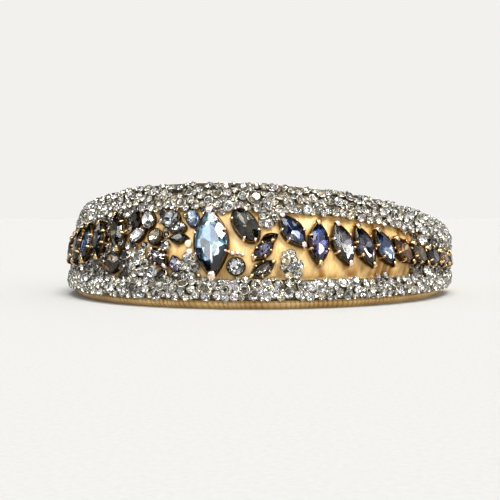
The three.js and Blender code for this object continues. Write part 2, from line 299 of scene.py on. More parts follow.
def satin_material(colour, shade):
    """Duchess satin, long floats over a foam core: a soft broad sheen that runs with the floats, fine slub,
    and painted shade, a darker amber mixed in down in the folds and between the wraps of the rolled edge."""
    material, tree = new_material("duchess_satin")
    uv = add_node(tree, "ShaderNodeUVMap", uv_map="satin_grain").outputs[0]
    # Floats of the weave run up the slope; at 0.12 mm they are too fine, so they are drawn at 0.5 mm.
    grain = add_node(tree, "ShaderNodeMapping", {"Vector": uv, "Scale": (2.6, 0.3, 1)}).outputs[0]
    floats = add_node(tree, "ShaderNodeTexNoise", {"Vector": grain, "Scale": 1.0, "Detail": 3.0}).outputs[0]
    patches = add_node(tree, "ShaderNodeTexNoise", {"Vector": uv, "Scale": 0.09, "Detail": 2.0}).outputs[0]
    # Painted shade: this amount, set per vertex, mixes the darker amber into the satin's colour in its folds
    # and between its wraps.
    folds = add_node(tree, "ShaderNodeAttribute", attribute_name="painted_satin_shade").outputs["Fac"]
    tone = add_node(tree, "ShaderNodeMix", {0: 0.3, 2: floats, 3: patches}, data_type="FLOAT").outputs[0]
    lights = ((0.3, "#C09858"), (0.5, colour), (0.72, "#E6CC98"))
    lit = add_node(tree, "ShaderNodeValToRGB", {0: tone}, stops=lights).outputs[0]
    base = add_node(
        tree, "ShaderNodeMix", {0: folds, 6: lit, 7: linear(shade)}, data_type="RGBA", clamp_factor=True
    ).outputs[2]
    rough = add_node(tree, "ShaderNodeValToRGB", {0: floats}, stops=((0.3, 0.28), (0.7, 0.46))).outputs[0]
    bump = add_node(tree, "ShaderNodeBump", {"Strength": 0.25, "Distance": 0.00006, "Height": floats})
    tangent = add_node(tree, "ShaderNodeTangent", direction_type="UV_MAP", uv_map="satin_grain")
    shader = add_node(
        tree,
        "ShaderNodeBsdfPrincipled",
        {
            "Base Color": base,
            "Roughness": rough,
            "IOR": 1.5,
            "Anisotropic": 0.55,
            "Tangent": tangent.outputs[0],
            "Sheen Weight": 0.35,
            "Sheen Roughness": 0.4,
            "Sheen Tint": linear("#F4E0B8"),
            "Normal": bump.outputs[0],
        },
    )
    finish_material(tree, shader.outputs[0])
    return material


def crystal_material(slot, tint):
    """Cut lead crystal, flame-polished: clear, faintly tinted, mirror-sharp edges of light."""
    material, tree = new_material(f"cut_crystal_{slot}")
    place_in = add_node(tree, "ShaderNodeTexCoord").outputs["Object"]
    # Faint streaks in the melt, about 3 mm long.
    streaks = {"Vector": place_in, "Scale": 330.0, "Detail": 1.0}
    melt = add_node(tree, "ShaderNodeTexNoise", streaks).outputs[0]
    clear = tuple(min(1.0, c * 1.06 + 0.01) for c in linear(tint)[:3]) + (1.0,)
    body = add_node(
        tree, "ShaderNodeMix", {0: melt, 6: linear(tint), 7: clear}, data_type="RGBA"
    ).outputs[2]
    shader = add_node(
        tree,
        "ShaderNodeBsdfPrincipled",
        {"Base Color": body, "Roughness": 0.0, "IOR": 1.58, "Transmission Weight": 1.0},
    )
    finish_material(tree, shader.outputs[0])
    return material


def foil_material():
    """Mirror foil fused to the back of a stone: each facet has its own tint, partly the stone's colour and
    partly painted reflection and shade, with now and then a painted white flash.
    """
    material, tree = new_material("mirror_foil")
    place_in = add_node(tree, "ShaderNodeTexCoord").outputs["Object"]
    tint = add_node(tree, "ShaderNodeAttribute", attribute_name="facet_tint_and_painted_light").outputs["Color"]
    mottle = {"Vector": place_in, "Scale": 500.0, "Detail": 2.0}
    cloud = add_node(tree, "ShaderNodeTexNoise", mottle).outputs[0]
    rough = add_node(tree, "ShaderNodeValToRGB", {0: cloud}, stops=((0.35, 0.03), (0.7, 0.13))).outputs[0]
    dulled = add_node(tree, "ShaderNodeValToRGB", {0: cloud}, stops=((0.3, 0.78), (0.6, 1.0))).outputs[0]
    base = add_node(
        tree, "ShaderNodeMix", {0: 1.0, 6: tint, 7: dulled}, data_type="RGBA", blend_type="MULTIPLY"
    ).outputs[2]
    shader = add_node(
        tree, "ShaderNodeBsdfPrincipled", {"Base Color": base, "Metallic": 1.0, "Roughness": rough}
    )
    finish_material(tree, shader.outputs[0])
    return material


def plated_material(name, colour, shade, roughness):
    """Gold-plated brass, polished by tumbling: warm mirror highs, duller and darker in patches
    about 1 mm across where the plate is handled, with fine tumbling marks."""
    material, tree = new_material(name)
    place_in = add_node(tree, "ShaderNodeTexCoord").outputs["Object"]
    patches = {"Vector": place_in, "Scale": 1000.0, "Detail": 4.0}
    wear = add_node(tree, "ShaderNodeTexNoise", patches).outputs[0]
    base = add_node(tree, "ShaderNodeValToRGB", {0: wear}, stops=((0.3, shade), (0.62, colour))).outputs[0]
    dulling = ((0.3, roughness * 1.7), (0.7, roughness))
    rough = add_node(tree, "ShaderNodeValToRGB", {0: wear}, stops=dulling).outputs[0]
    bump = add_node(tree, "ShaderNodeBump", {"Strength": 0.2, "Distance": 0.00004, "Height": wear})
    shader = add_node(
        tree,
        "ShaderNodeBsdfPrincipled",
        {"Base Color": base, "Metallic": 1.0, "Roughness": rough, "Normal": bump.outputs[0]},
    )
    finish_material(tree, shader.outputs[0])
    return material


def pearl_material():
    """Glass pearl, dipped: a cream body under a soft bright coat."""
    material, tree = new_material("dipped_glass_pearl")
    place_in = add_node(tree, "ShaderNodeTexCoord").outputs["Object"]
    mottle = {"Vector": place_in, "Scale": 600.0, "Detail": 2.0}
    cloud = add_node(tree, "ShaderNodeTexNoise", mottle).outputs[0]
    creams = ((0.3, "#E3CFA0"), (0.7, "#FFF6E0"))
    base = add_node(tree, "ShaderNodeValToRGB", {0: cloud}, stops=creams).outputs[0]
    rough = add_node(tree, "ShaderNodeValToRGB", {0: cloud}, stops=((0.3, 0.22), (0.7, 0.32))).outputs[0]
    shader = add_node(
        tree,
        "ShaderNodeBsdfPrincipled",
        {
            "Base Color": base,
            "Roughness": rough,
            "IOR": 1.55,
            "Coat Weight": 0.7,
            "Coat Roughness": 0.08,
        },
    )
    finish_material(tree, shader.outputs[0])
    return material


def paper_material():
    """Seamless studio paper: quite matt, with a barely visible tooth."""
    material, tree = new_material("seamless_paper")
    place_in = add_node(tree, "ShaderNodeTexCoord").outputs["Object"]
    fibres = {"Vector": place_in, "Scale": 900.0, "Detail": 2.0}
    tooth = add_node(tree, "ShaderNodeTexNoise", fibres).outputs[0]
    whites = ((0.3, "#E6E5E1"), (0.7, "#EBEAE6"))
    base = add_node(tree, "ShaderNodeValToRGB", {0: tooth}, stops=whites).outputs[0]
    shader = add_node(
        tree,
        "ShaderNodeBsdfPrincipled",
        {"Base Color": base, "Roughness": 0.9, "Specular IOR Level": 0.0},
    )
    finish_material(tree, shader.outputs[0])
    return material


_materials = {}


def material_for(key):
    """Each of the tiara's materials, made the first time it is asked for."""
    if key in _materials:
        return _materials[key]
    looks = bpy.context.scene.tiara_looks
    if key == "satin":
        made = satin_material(looks.satin, looks.folds)
    elif key == "foil":
        made = foil_material()
    elif key == "gold":
        made = plated_material("gold_plated_claws", looks.claws, "#A88050", 0.14)
    elif key == "rose":
        made = plated_material("rose_gold_claws", looks.rose_claws, "#EBCDBA", 0.2)
    elif key == "cup":
        made = plated_material("plated_cups", looks.cups, "#6E695E", 0.2)
    elif key == "bed":
        made = plated_material("oxidised_brass_bed", "#6A6252", "#221E18", 0.34)
    elif key == "collar":
        made = plated_material("antiqued_brass_collars", looks.collars, "#120D08", 0.24)
    elif key == "pearl":
        made = pearl_material()
    else:
        made = crystal_material(key, GLASS_TINTS[key])
    _materials[key] = made
    return made


# ---------------------------------------------------------------- making meshes


def into_object(name, bm, materials, smooth_materials=(), replaced=()):
    """Brings a finished bmesh to metres and makes it a piece of the tiara."""
    bmesh.ops.scale(bm, vec=(MM, MM, MM), verts=bm.verts)
    mesh = bpy.data.meshes.new(name)
    for face in bm.faces:
        face.smooth = face.material_index in smooth_materials
    bm.to_mesh(mesh)
    bm.free()
    return into_piece(name, mesh, materials, replaced)


def in_scene(name, data):
    """A new object that holds the data, linked to the scene."""
    obj = bpy.data.objects.new(name, data)
    bpy.context.scene.collection.objects.link(obj)
    return obj


def into_piece(name, mesh, materials, replaced):
    """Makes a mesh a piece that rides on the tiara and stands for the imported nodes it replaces."""
    obj = in_scene(name, mesh)
    for key in materials:
        mesh.materials.append(material_for(key))
    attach(obj, BODY)
    if replaced:
        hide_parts(*replaced)
    return obj


def outline_point(shape, turn, half_width, half_length):
    """A point of a stone's outline, at a turn round it in radians."""
    across, along = math.cos(turn), math.sin(turn)
    pointed = shape == "navette" or (shape == "pear" and along > 0)
    return Vector((half_width * (across * abs(across) if pointed else across), half_length * along))


def outline_facing(shape, turn, half_width, half_length):
    """The outward direction of the outline there. At a point it looks straight along the stone."""
    small = 1e-3
    ahead = outline_point(shape, turn + small, half_width, half_length)
    run = ahead - outline_point(shape, turn - small, half_width, half_length)
    if run.length < small * half_width * 0.1:
        return Vector((0, math.copysign(1, math.sin(turn))))
    return Vector((run.y, -run.x)).normalized()


Facets = namedtuple("Facets", "first count wide_share wide_level narrow_share narrow_level")

# Rows of facets. A row starts at a turn in degrees, and a facet passes through two places, each a
# share of the outline's half breadth and a level: 0 culet, 1 and 2 the girdle's edges, 3 the table.
CROWN_FACETS = (
    Facets(22.5, 8, 1.0, 2.0, 0.56, 3.0),
    Facets(0, 8, 0.985, 2.0, 0.8, 2.62),
    Facets(0, 8, 0.74, 2.72, 0.575, 3.0),
)
PAVILION_FACETS = (
    Facets(0, 8, 1.0, 1.0, 0.0, 0.0),
    Facets(22.5, 8, 0.93, 1.0, 0.36, 0.3),
)
CHATON_CROWN = (
    Facets(22.5, 8, 1.0, 2.0, 0.52, 3.0),
    Facets(0, 8, 0.74, 2.66, 0.54, 3.0),
)
CHATON_PAVILION = (Facets(0, 8, 1.0, 1.0, 0.0, 0.0),)


FOIL_FACING = -0.05  # a facet whose normal points further down than this is foiled
STONE_WELD = 0.004  # mm
SLANT = Vector((0.617, 0.373, 0.693))  # a line on which no two facets of a stone lie level


def put_in_order(bm):
    """Sorts a mesh's vertices, edges and faces along a slanting line, so that each run numbers them alike."""
    for parts in (bm.verts, bm.edges, bm.faces):
        corners = {part: [SLANT.dot(v.co) for v in getattr(part, "verts", [part])] for part in parts}
        parts.sort(key=lambda part: sum(corners[part]) / len(corners[part]))


def cut_stone(shape, length, width, levels, crown, pavilion, sides=16):
    """A stone cut as a lapidary cuts it: a prism of the outline, sliced once for each facet.
    Its crown and girdle have material 0 and its foiled pavilion material 1."""
    half_width, half_length = width / 2, length / 2
    bm = bmesh.new()
    ring = bmesh.ops.create_circle(bm, cap_ends=True, segments=sides, radius=1)["verts"]
    for vert in ring:
        spot = outline_point(shape, math.atan2(vert.co.y, vert.co.x), half_width, half_length)
        vert.co = (spot.x, spot.y, levels[0])
    raised = bmesh.ops.extrude_face_region(bm, geom=bm.faces[:])["geom"]
    verts = [v for v in raised if isinstance(v, bmesh.types.BMVert)]
    bmesh.ops.translate(bm, vec=(0, 0, levels[3] - levels[0]), verts=verts)
    bmesh.ops.recalc_face_normals(bm, faces=bm.faces)
    for row in crown + pavilion:
        wide = np.interp(row.wide_level, (0, 1, 2, 3), levels)
        narrow = np.interp(row.narrow_level, (0, 1, 2, 3), levels)
        for i in range(row.count):
            turn = math.radians(row.first + 360 / row.count * i)
            facing = outline_facing(shape, turn, half_width, half_length)
            reach = facing.dot(outline_point(shape, turn, half_width, half_length))
            rise, run = narrow - wide, reach * (row.wide_share - row.narrow_share)
            slope = Vector((facing.x * abs(rise), facing.y * abs(rise), math.copysign(run, rise)))
            at = Vector((facing.x, facing.y, 0)) * reach * row.wide_share + Vector((0, 0, wide))
            everything = bm.verts[:] + bm.edges[:] + bm.faces[:]
            sliced = bmesh.ops.bisect_plane(
                bm, geom=everything, dist=1e-4, plane_co=at, plane_no=slope, clear_outer=True
            )
            rim = [e for e in sliced["geom_cut"] if isinstance(e, bmesh.types.BMEdge)]
            if len(rim) > 2:
                bmesh.ops.holes_fill(bm, edges=rim, sides=0)
            put_in_order(bm)
    bmesh.ops.remove_doubles(bm, verts=bm.verts, dist=STONE_WELD)
    bmesh.ops.recalc_face_normals(bm, faces=bm.faces)
    for face in bm.faces:
        face.material_index = 1 if face.normal.z < FOIL_FACING else 0
    return bm


# How fast a stone's tint turns from its foot's to its tip's, and how much darker or brighter than its tint a
# facet may be, as painted reflection and shade. The ice stones are the most even, and painted dark only in
# the foot.
TINT_STEEPNESS, FACET_SHADES = 2.1, (0.45, 1.5)
ICE_STEEPNESS, ICE_SHADES = 2.7, (0.85, 1.5)
# Painted highlights: the chance that a facet is painted as a white flash, and how white.
FLASH_CHANCE, FLASH_WHITENESS = 0.12, 0.6


def tint_facets(bm, stone, rng):
    """Gives each facet of the foil a tint, from the stone's foot to its tip, partly the stone's own colour
    and partly painted reflection and shade, with chance painted white flashes.
    """
    put_in_order(bm)
    layer = bm.loops.layers.float_color.new("facet_tint_and_painted_light")
    stops = [Vector(linear(c)[:3]) for c in (stone.low, stone.middle, stone.high)]
    icy = stone.slot == "ice"
    steepness, shades = (ICE_STEEPNESS, ICE_SHADES) if icy else (TINT_STEEPNESS, FACET_SHADES)
    for face in bm.faces:
        along = face.calc_center_median().y / (stone.length / 2)
        share = min(max(along * steepness + 1, 0), 2)
        colour = stops[0].lerp(stops[1], share) if share < 1 else stops[1].lerp(stops[2], share - 1)
        # Painted reflection and shade: the facet is darker or brighter at random, and now and then a painted
        # white flash.
        colour = colour * rng.uniform(*shades)
        if rng.random() < FLASH_CHANCE:
            colour = colour.lerp(Vector((1, 1, 1)), FLASH_WHITENESS)
        for loop in face.loops:
            loop[layer] = (min(colour.x, 1), min(colour.y, 1), min(colour.z, 1), 1)


def foiled_stone(stone, levels, sides, rng):
    """A stone in its own outline, cut, foiled and tinted."""
    bm = cut_stone(stone.shape, stone.length, stone.width, levels, CROWN_FACETS, PAVILION_FACETS, sides)
    tint_facets(bm, stone, rng)
    return bm


def outline_ring(bm, stone, share, extra, height, sides):
    """A ring in the stone's outline, made smaller by share or larger by extra, and its edges."""
    ring = bmesh.ops.create_circle(bm, cap_ends=False, segments=sides, radius=1)["verts"]
    for vert in ring:
        turn = math.atan2(vert.co.y, vert.co.x)
        spot = outline_point(stone.shape, turn, stone.width / 2 + extra, stone.length / 2 + extra)
        vert.co = (spot.x * share, spot.y * share, height)
    return list({edge for vert in ring for edge in vert.link_edges})


def lofted(bm, stone, profile, sides, closed=True):
    """A wall that follows the stone's outline, bridged through a profile of (extra, height); gives
    its rings."""
    rings = [outline_ring(bm, stone, 1, extra, height, sides) for extra, height in profile]
    bridged(bm, rings + rings[:1] if closed else rings)
    return rings


def bridged(bm, rings):
    """A wall from each ring to the next."""
    for one, other in zip(rings, rings[1:]):
        bmesh.ops.bridge_loops(bm, edges=one + other)


def wire(bm, path, radii, sides=8, flatten=1.0, sideways=Vector((1, 0, 0))):
    """A round wire or prong: one ring, drawn out by extrusion along the path, with closed ends."""
    frames = []
    for i, point in enumerate(path):
        run = (path[min(i + 1, len(path) - 1)] - path[max(i - 1, 0)]).normalized()
        side = (sideways - run * sideways.dot(run)).normalized()
        turned = Matrix((side, run.cross(side), run)).transposed().to_4x4()
        widths = Matrix.Diagonal((radii[i], radii[i] * flatten, 1, 1))
        frames.append(Matrix.Translation(point) @ turned @ widths)
    ring = bmesh.ops.create_circle(bm, cap_ends=False, segments=sides, radius=1)["verts"]
    bmesh.ops.transform(bm, matrix=frames[0], verts=ring)
    edges = list({edge for vert in ring for edge in vert.link_edges})
    bmesh.ops.contextual_create(bm, geom=edges)
    for before, after in zip(frames, frames[1:]):
        drawn = bmesh.ops.extrude_edge_only(bm, edges=edges)["geom"]
        verts = [v for v in drawn if isinstance(v, bmesh.types.BMVert)]
        edges = [e for e in drawn if isinstance(e, bmesh.types.BMEdge)]
        bmesh.ops.transform(bm, matrix=after @ before.inverted(), verts=verts)
    bmesh.ops.contextual_create(bm, geom=edges)


def prong(bm, stone, turn, breadth, reach, top=3.25):
    """A claw that stands on the collar at a turn, and bends in over the girdle."""
    facing = outline_facing(stone.shape, turn, stone.width / 2, stone.length / 2)
    spot = outline_point(stone.shape, turn, stone.width / 2, stone.length / 2)
    outer = SETTING_GAP + SETTING_WALL
    steps = (
        (outer + 0.12, 0.0, 0.8),
        (outer + 0.16, 1.6, 0.9),
        (outer + 0.02, 2.5, 1.0),
        (outer - 0.35, top - 0.22, 1.0),
        (outer - 0.35 - reach * 0.5, top, 0.92),
        (outer - 0.35 - reach, top - 0.04, 0.62),
        (outer - 0.42 - reach, top - 0.07, 0.2),
    )
    path = [Vector((*(spot + facing * out), height)) for out, height, share in steps]
    sideways = Vector((-facing.y, facing.x, 0))
    wire(bm, path, [breadth * share for out, height, share in steps], 10, 0.36 / breadth, sideways)


def setting(stone):
    """An open collar with rounded edges, and claws at the ends and flanks of the stone."""
    bm = bmesh.new()
    inner, outer = SETTING_GAP, SETTING_GAP + SETTING_WALL
    middle = (inner + outer) / 2
    profile = (
        (inner, 0.1),
        (middle, 0.0),
        (outer + 0.1, 0.1),
        (outer + 0.02, 0.9),
        (outer, SETTING_HEIGHT - 0.15),
        (middle, SETTING_HEIGHT + 0.05),
        (inner, SETTING_HEIGHT - 0.15),
    )
    lofted(bm, stone, profile, 32)
    collar = set(bm.faces)
    if stone.shape == "navette":
        tip = min(1.55, stone.width * 0.14)
        for turn in (90, 270):
            prong(bm, stone, math.radians(turn), tip, stone.length * 0.06 + 0.6)
        for turn in (18, 162, 198, 342):
            prong(bm, stone, math.radians(turn), 0.42, 0.55)
    else:
        for turn in (40, 90, 140, 220, 270, 320):
            prong(bm, stone, math.radians(turn), 0.5, 0.6)
    for face in bm.faces:
        face.material_index = 0 if face in collar else 1
    bmesh.ops.recalc_face_normals(bm, faces=bm.faces)
    return bm


def stone_levels(stone):
    """Culet, girdle and table heights; a broad stone is cut with a higher crown."""
    return (CULET, GIRDLE_LOW, GIRDLE_HIGH, TABLE + 0.03 * max(0, stone.width - 6))


# ---------------------------------------------------------------- many small stones


def join_bmesh(bm, other, material_index):
    """Adds another bmesh to this one with a material of its own, frees it, and numbers the whole
    by place."""
    for face in other.faces:
        face.material_index = material_index
    passing = bpy.data.meshes.new("passing")
    other.to_mesh(passing)
    other.free()
    bm.from_mesh(passing)
    bpy.data.meshes.remove(passing)
    put_in_order(bm)


def chaton_template():
    """A round stone of diameter 1 in a cup with four claws: its mesh as arrays."""
    bm = cut_stone("oval", 1, 1, (-0.42, -0.02, 0.03, 0.24), CHATON_CROWN, CHATON_PAVILION)
    cup = bmesh.new()
    round_stone = Stone("", "oval", 0, 0, 1, 1, 0, "", "", "", "")
    lofted(cup, round_stone, ((-0.12, -0.5), (0.045, -0.44), (0.075, 0.0), (0.02, 0.015)), 12, closed=False)
    for turn in (45, 135, 225, 315):
        facing = Vector((math.cos(math.radians(turn)), math.sin(math.radians(turn)), 0))
        steps = ((0.57, -0.1, 0.07), (0.565, 0.07, 0.075), (0.46, 0.15, 0.06))
        path = [facing * out + Vector((0, 0, height)) for out, height, radius in steps]
        wire(cup, path, [radius for out, height, radius in steps], 4, 1, Vector((-facing.y, facing.x, 0)))
    bmesh.ops.recalc_face_normals(cup, faces=cup.faces)
    join_bmesh(bm, cup, 2)
    bm.verts.ensure_lookup_table()
    bm.verts.index_update()
    verts = np.array([v.co for v in bm.verts])
    faces = [[v.index for v in face.verts] for face in bm.faces]
    kinds = [face.material_index for face in bm.faces]
    bm.free()
    return verts, faces, kinds


def leant(*degrees):
    """A lean about x, y and z, in degrees, as a matrix."""
    return Euler([math.radians(angle) for angle in degrees]).to_matrix().to_4x4()


def scattered(name, template, frames, tints, rng, materials, replaced):
    """Copies of a template stone, joined into one mesh, each with its own tints."""
    verts, faces, kinds = template
    padded_verts = np.c_[verts, np.ones(len(verts))]
    all_verts = np.concatenate([padded_verts @ np.array(frame_).T for frame_ in frames])[:, :3] * MM
    all_faces = [[i + n * len(verts) for i in face] for n in range(len(frames)) for face in faces]
    mesh = bpy.data.meshes.new(name)
    mesh.from_pydata(all_verts.tolist(), [], all_faces)
    mesh.polygons.foreach_set("material_index", kinds * len(frames))
    mesh.polygons.foreach_set("use_smooth", [False] * len(all_faces))
    layer = mesh.color_attributes.new("facet_tint_and_painted_light", "FLOAT_COLOR", "CORNER")
    colours = []
    for n in range(len(frames)):
        for face, kind in zip(faces, kinds):
            # Painted reflection: each foiled facet is a little darker at random.
            shade = rng.uniform(0.75, 1.0) if kind == 1 else 1
            tint = [min(1, c * shade) for c in tints[n]]
            colours += [*tint, 1] * len(face)
    layer.data.foreach_set("color", colours)
    return into_piece(name, mesh, materials, replaced)


def catmull_rom(count, samples):
    """Weights that turn count control points of a closed line into samples points of a smooth one."""
    weights = np.zeros((samples, count))
    for row, at in enumerate(np.linspace(0, count, samples)):
        first = min(int(at), count - 1)
        t = at - first
        basis = (
            (-t + 2 * t**2 - t**3) / 2,
            (2 - 5 * t**2 + 3 * t**3) / 2,
            (t + 4 * t**2 - 3 * t**3) / 2,
            (-(t**2) + t**3) / 2,
        )
        for step, weight in enumerate(basis):
            weights[row, (first + step - 1) % count] += weight
    return weights


def fullness(angle, end, rounding):
    """How much of its section a strip keeps: all of it, then less round a quarter circle."""
    past = np.clip((np.abs(angle) - (end - rounding)) / rounding, 0, 1)
    return np.sqrt(1 - past**2)


STRIP_WELD = 0.003  # mm


def strip_grid(bm, ups, outs, angles, painted_shade):
    """A grid of quads laid on the head form and closed to a tube; column i lies at angles[i]."""
    columns, rows = ups.shape
    grain = bm.loops.layers.uv.new("satin_grain")
    # Painted shade: how much of the darker amber each vertex of the satin gets.
    folds = bm.verts.layers.float.new("painted_satin_shade")
    made = bmesh.ops.create_grid(bm, x_segments=columns - 1, y_segments=rows - 1, size=1)["verts"]
    points = place(angles[:, None], ups, outs)
    keys = {}
    for vert in made:
        column = round((vert.co.x + 1) / 2 * (columns - 1))
        row = round((vert.co.y + 1) / 2 * (rows - 1))
        keys[vert] = (column, row)
    steps = np.linalg.norm(np.diff(points, axis=1), axis=2)
    around = np.concatenate([np.zeros((columns, 1)), np.cumsum(steps, axis=1)], axis=1)
    along = arc_along(angles)
    for face in bm.faces:
        for loop in face.loops:
            column, row = keys[loop.vert]
            loop[grain].uv = (along[column], around[column, row])
    for vert, (column, row) in keys.items():
        vert.co = points[column, row]
        vert[folds] = min(1, painted_shade[column, row])
    bmesh.ops.remove_doubles(bm, verts=bm.verts, dist=STRIP_WELD)
    bmesh.ops.recalc_face_normals(bm, faces=bm.faces)


def arc_along(angles, up=15.0):
    """Millimetres along the band from its middle, at each angle."""
    fine = np.linspace(-120, 120, 2401)
    points = place(fine, up, 0)
    run = np.concatenate([[0], np.cumsum(np.linalg.norm(np.diff(points, axis=0), axis=1))])
    run -= np.interp(0, fine, run)
    return np.interp(angles, fine, run)


# ---------------------------------------------------------------- the padded band

# The band's section, from the middle of its flat rim outwards and round: (mark, out, share of the
# crown) rows, where a row with a share takes its place out from the satin's crown.
BAND_SECTION = (
    (0.0, -6.0, None),
    (0.0, -4.6, None),
    (0.16, -3.6, None),
    (0.42, -2.75, None),
    (0.7, -2.7, None),
    (0.95, -3.25, None),
    (1.1, -3.1, None),
    (1.6, -3.0, None),
    (2.0, -3.05, None),
    (2.14, 0, 0.2),
    (2.45, 0, 0.7),
    (2.75, 0, 0.93),
    (3.0, 0, 1.0),
    (3.3, 0, 0.92),
    (3.55, 0, 0.7),
    (3.86, 0, 0.2),
    (4.0, -3.05, None),
    (4.4, -3.0, None),
    (4.75, -3.1, None),
    (5.0, -4.1, None),
    (5.6, -5.0, None),
    (6.0, -6.0, None),
    (5.7, -6.8, None),
    (5.0, -7.7, None),
    (4.7, -8.1, None),
    (4.0, -8.2, None),
    (3.0, -8.2, None),
    (2.0, -8.2, None),
    (1.2, -8.2, None),
    (0.5, -8.1, None),
    (0.12, -7.6, None),
)
BAND_GRID = 94, 801  # rows round the section and columns along the band
END_CROWDING = 0.04  # how much the columns crowd together towards the round ends
WRAP_PITCH = 2.1  # the rolled edge is wrapped with satin at this spacing
WRAP_DEPTH = 0.15
PUCKER_DEPTH = 0.12
# Towards its ends the satin is gathered into upright ridges, with painted shade between them: (angle, how
# much).
GATHERED = (
    *((-101, 0), (-94, 1), (-26, 1), (-14, 0.8), (-5, 0.15), (0, 0)),
    *((42, 0), (49, 1.2), (58, 1.2), (94, 1), (101, 0)),
)
GATHER_PITCH, GATHER_DEPTH = 1.5, 0.3


def section_at(angles, rows):
    """The band's section as heights up the slope and places out, and each row's mark."""
    slope = edges_at(angles)[3]
    marks = marks_at(slope)
    ups = np.stack([at_mark(marks, mark) for mark, out, share in BAND_SECTION], -1)
    level = slope * 0
    outs = [level + out if share is None else crown_height(share, slope) for _, out, share in BAND_SECTION]
    weights = catmull_rom(len(BAND_SECTION), rows)
    row_marks = weights @ np.array([mark for mark, out, share in BAND_SECTION])
    return ups @ weights.T, np.stack(outs, -1) @ weights.T, row_marks, marks


# The satin of the field is cut larger than the foam and eased on, so it puckers between the lines
# and settings where it is sewn down. It is simulated at ten times its size, as suits the solver.
EASE = 0.14
CLOTH_SCALE, CLOTH_FRAMES, CLOTH_STEP = 0.01, 20, 2
CLOTH_QUALITY, CLOTH_STRETCH, CLOTH_BEND, FOAM_PRESSURE = 6, 15, 2, 4
MOST_SWELL, MOST_SINK = 0.9, 0.45
# A place that lies below its neighbours, over so many columns, gets painted fold shade this fast, and the
# painted shade fades out over the last degrees before the borders' ends.
FOLD_REACH, FOLD_CONTRAST, FOLD_FADE = 31, 2.6, 4


def under_settings(points):
    """True at the points, in millimetres, that a stone's or motif's foot stands on."""
    spots = np.concatenate([points.reshape(-1, 3), np.ones((points.size // 3, 1))], axis=1)
    held = np.zeros(len(spots), bool)
    for item in (*STONES, *CUPPED_STONES, *ACCENTS, *MOTIFS):
        local = spots @ np.array(seat(item).inverted()).T
        across = local[:, 0] / (item.width / 2 + SETTING_GAP)
        along = local[:, 1] / (item.length / 2 + SETTING_GAP)
        held |= (np.hypot(across, along) < 1) & (np.abs(local[:, 2]) < 3)
    return held.reshape(points.shape[:-1])


def satin_sheet(points, held):
    """A sheet of quads at the points, with the places that are sewn down as a vertex group, and the
    (column, row) of each vertex."""
    columns, rows = held.shape
    bm = bmesh.new()
    weights = bm.verts.layers.deform.new()
    made = bmesh.ops.create_grid(bm, x_segments=columns - 1, y_segments=rows - 1, size=1)["verts"]
    where = [(round((v.co.x + 1) / 2 * (columns - 1)), round((v.co.y + 1) / 2 * (rows - 1))) for v in made]
    for vert, key in zip(made, where):
        vert.co = points[key] * CLOTH_SCALE
        if held[key]:
            vert[weights][0] = 1.0
    mesh = bpy.data.meshes.new("eased_satin")
    bm.to_mesh(mesh)
    bm.free()
    sheet = in_scene("eased_satin", mesh)
    sheet.vertex_groups.new(name="sewn")
    return sheet, where


def softened(field, passes=1):
    """A field of values with its finest ripples pressed out."""
    for _ in range(passes):
        for axis in (0, 1):
            wide = np.pad(field, [(1, 1) if a == axis else (0, 0) for a in (0, 1)], mode="edge")
            field = (np.roll(wide, 1, axis) + 2 * wide + np.roll(wide, -1, axis)) / 4
            field = field[1:-1] if axis == 0 else field[:, 1:-1]
    return field


def eased_on(angles, ups, outs):
    """Eases the satin onto the foam with a cloth simulation: how far it moves out, in mm."""
    points = place(angles[:, None], ups, outs)
    held = under_settings(points)
    held[:, (0, -1)] = held[(0, 1, -2, -1), :] = True
    sheet, where = satin_sheet(points, held)
    scene = bpy.context.scene
    cloth = sheet.modifiers.new("Cloth", "CLOTH")
    cloth.point_cache.frame_start, cloth.point_cache.frame_end = 1, CLOTH_FRAMES
    settings = cloth.settings
    settings.quality = CLOTH_QUALITY
    settings.tension_stiffness = settings.compression_stiffness = CLOTH_STRETCH
    settings.bending_stiffness = CLOTH_BEND
    settings.use_pressure, settings.uniform_pressure_force = True, FOAM_PRESSURE
    settings.shrink_min = -scene.tiara_looks.ease
    settings.vertex_group_mass = "sewn"
    settings.effector_weights.gravity = 0
    for step in range(1, CLOTH_FRAMES + 1):
        scene.frame_set(step)
    settled = sheet.evaluated_get(bpy.context.evaluated_depsgraph_get()).to_mesh()
    moved = np.zeros_like(points)
    for vert, key in zip(settled.vertices, where):
        moved[key] = np.array(vert.co) / CLOTH_SCALE - points[key]
    scene.frame_set(1)
    bpy.data.objects.remove(sheet)
    out = softened(np.einsum("crk,ck->cr", moved, edges_at(angles)[2]))
    return np.where(out > 0, MOST_SWELL * np.tanh(out / MOST_SWELL), MOST_SINK * np.tanh(out / MOST_SINK))


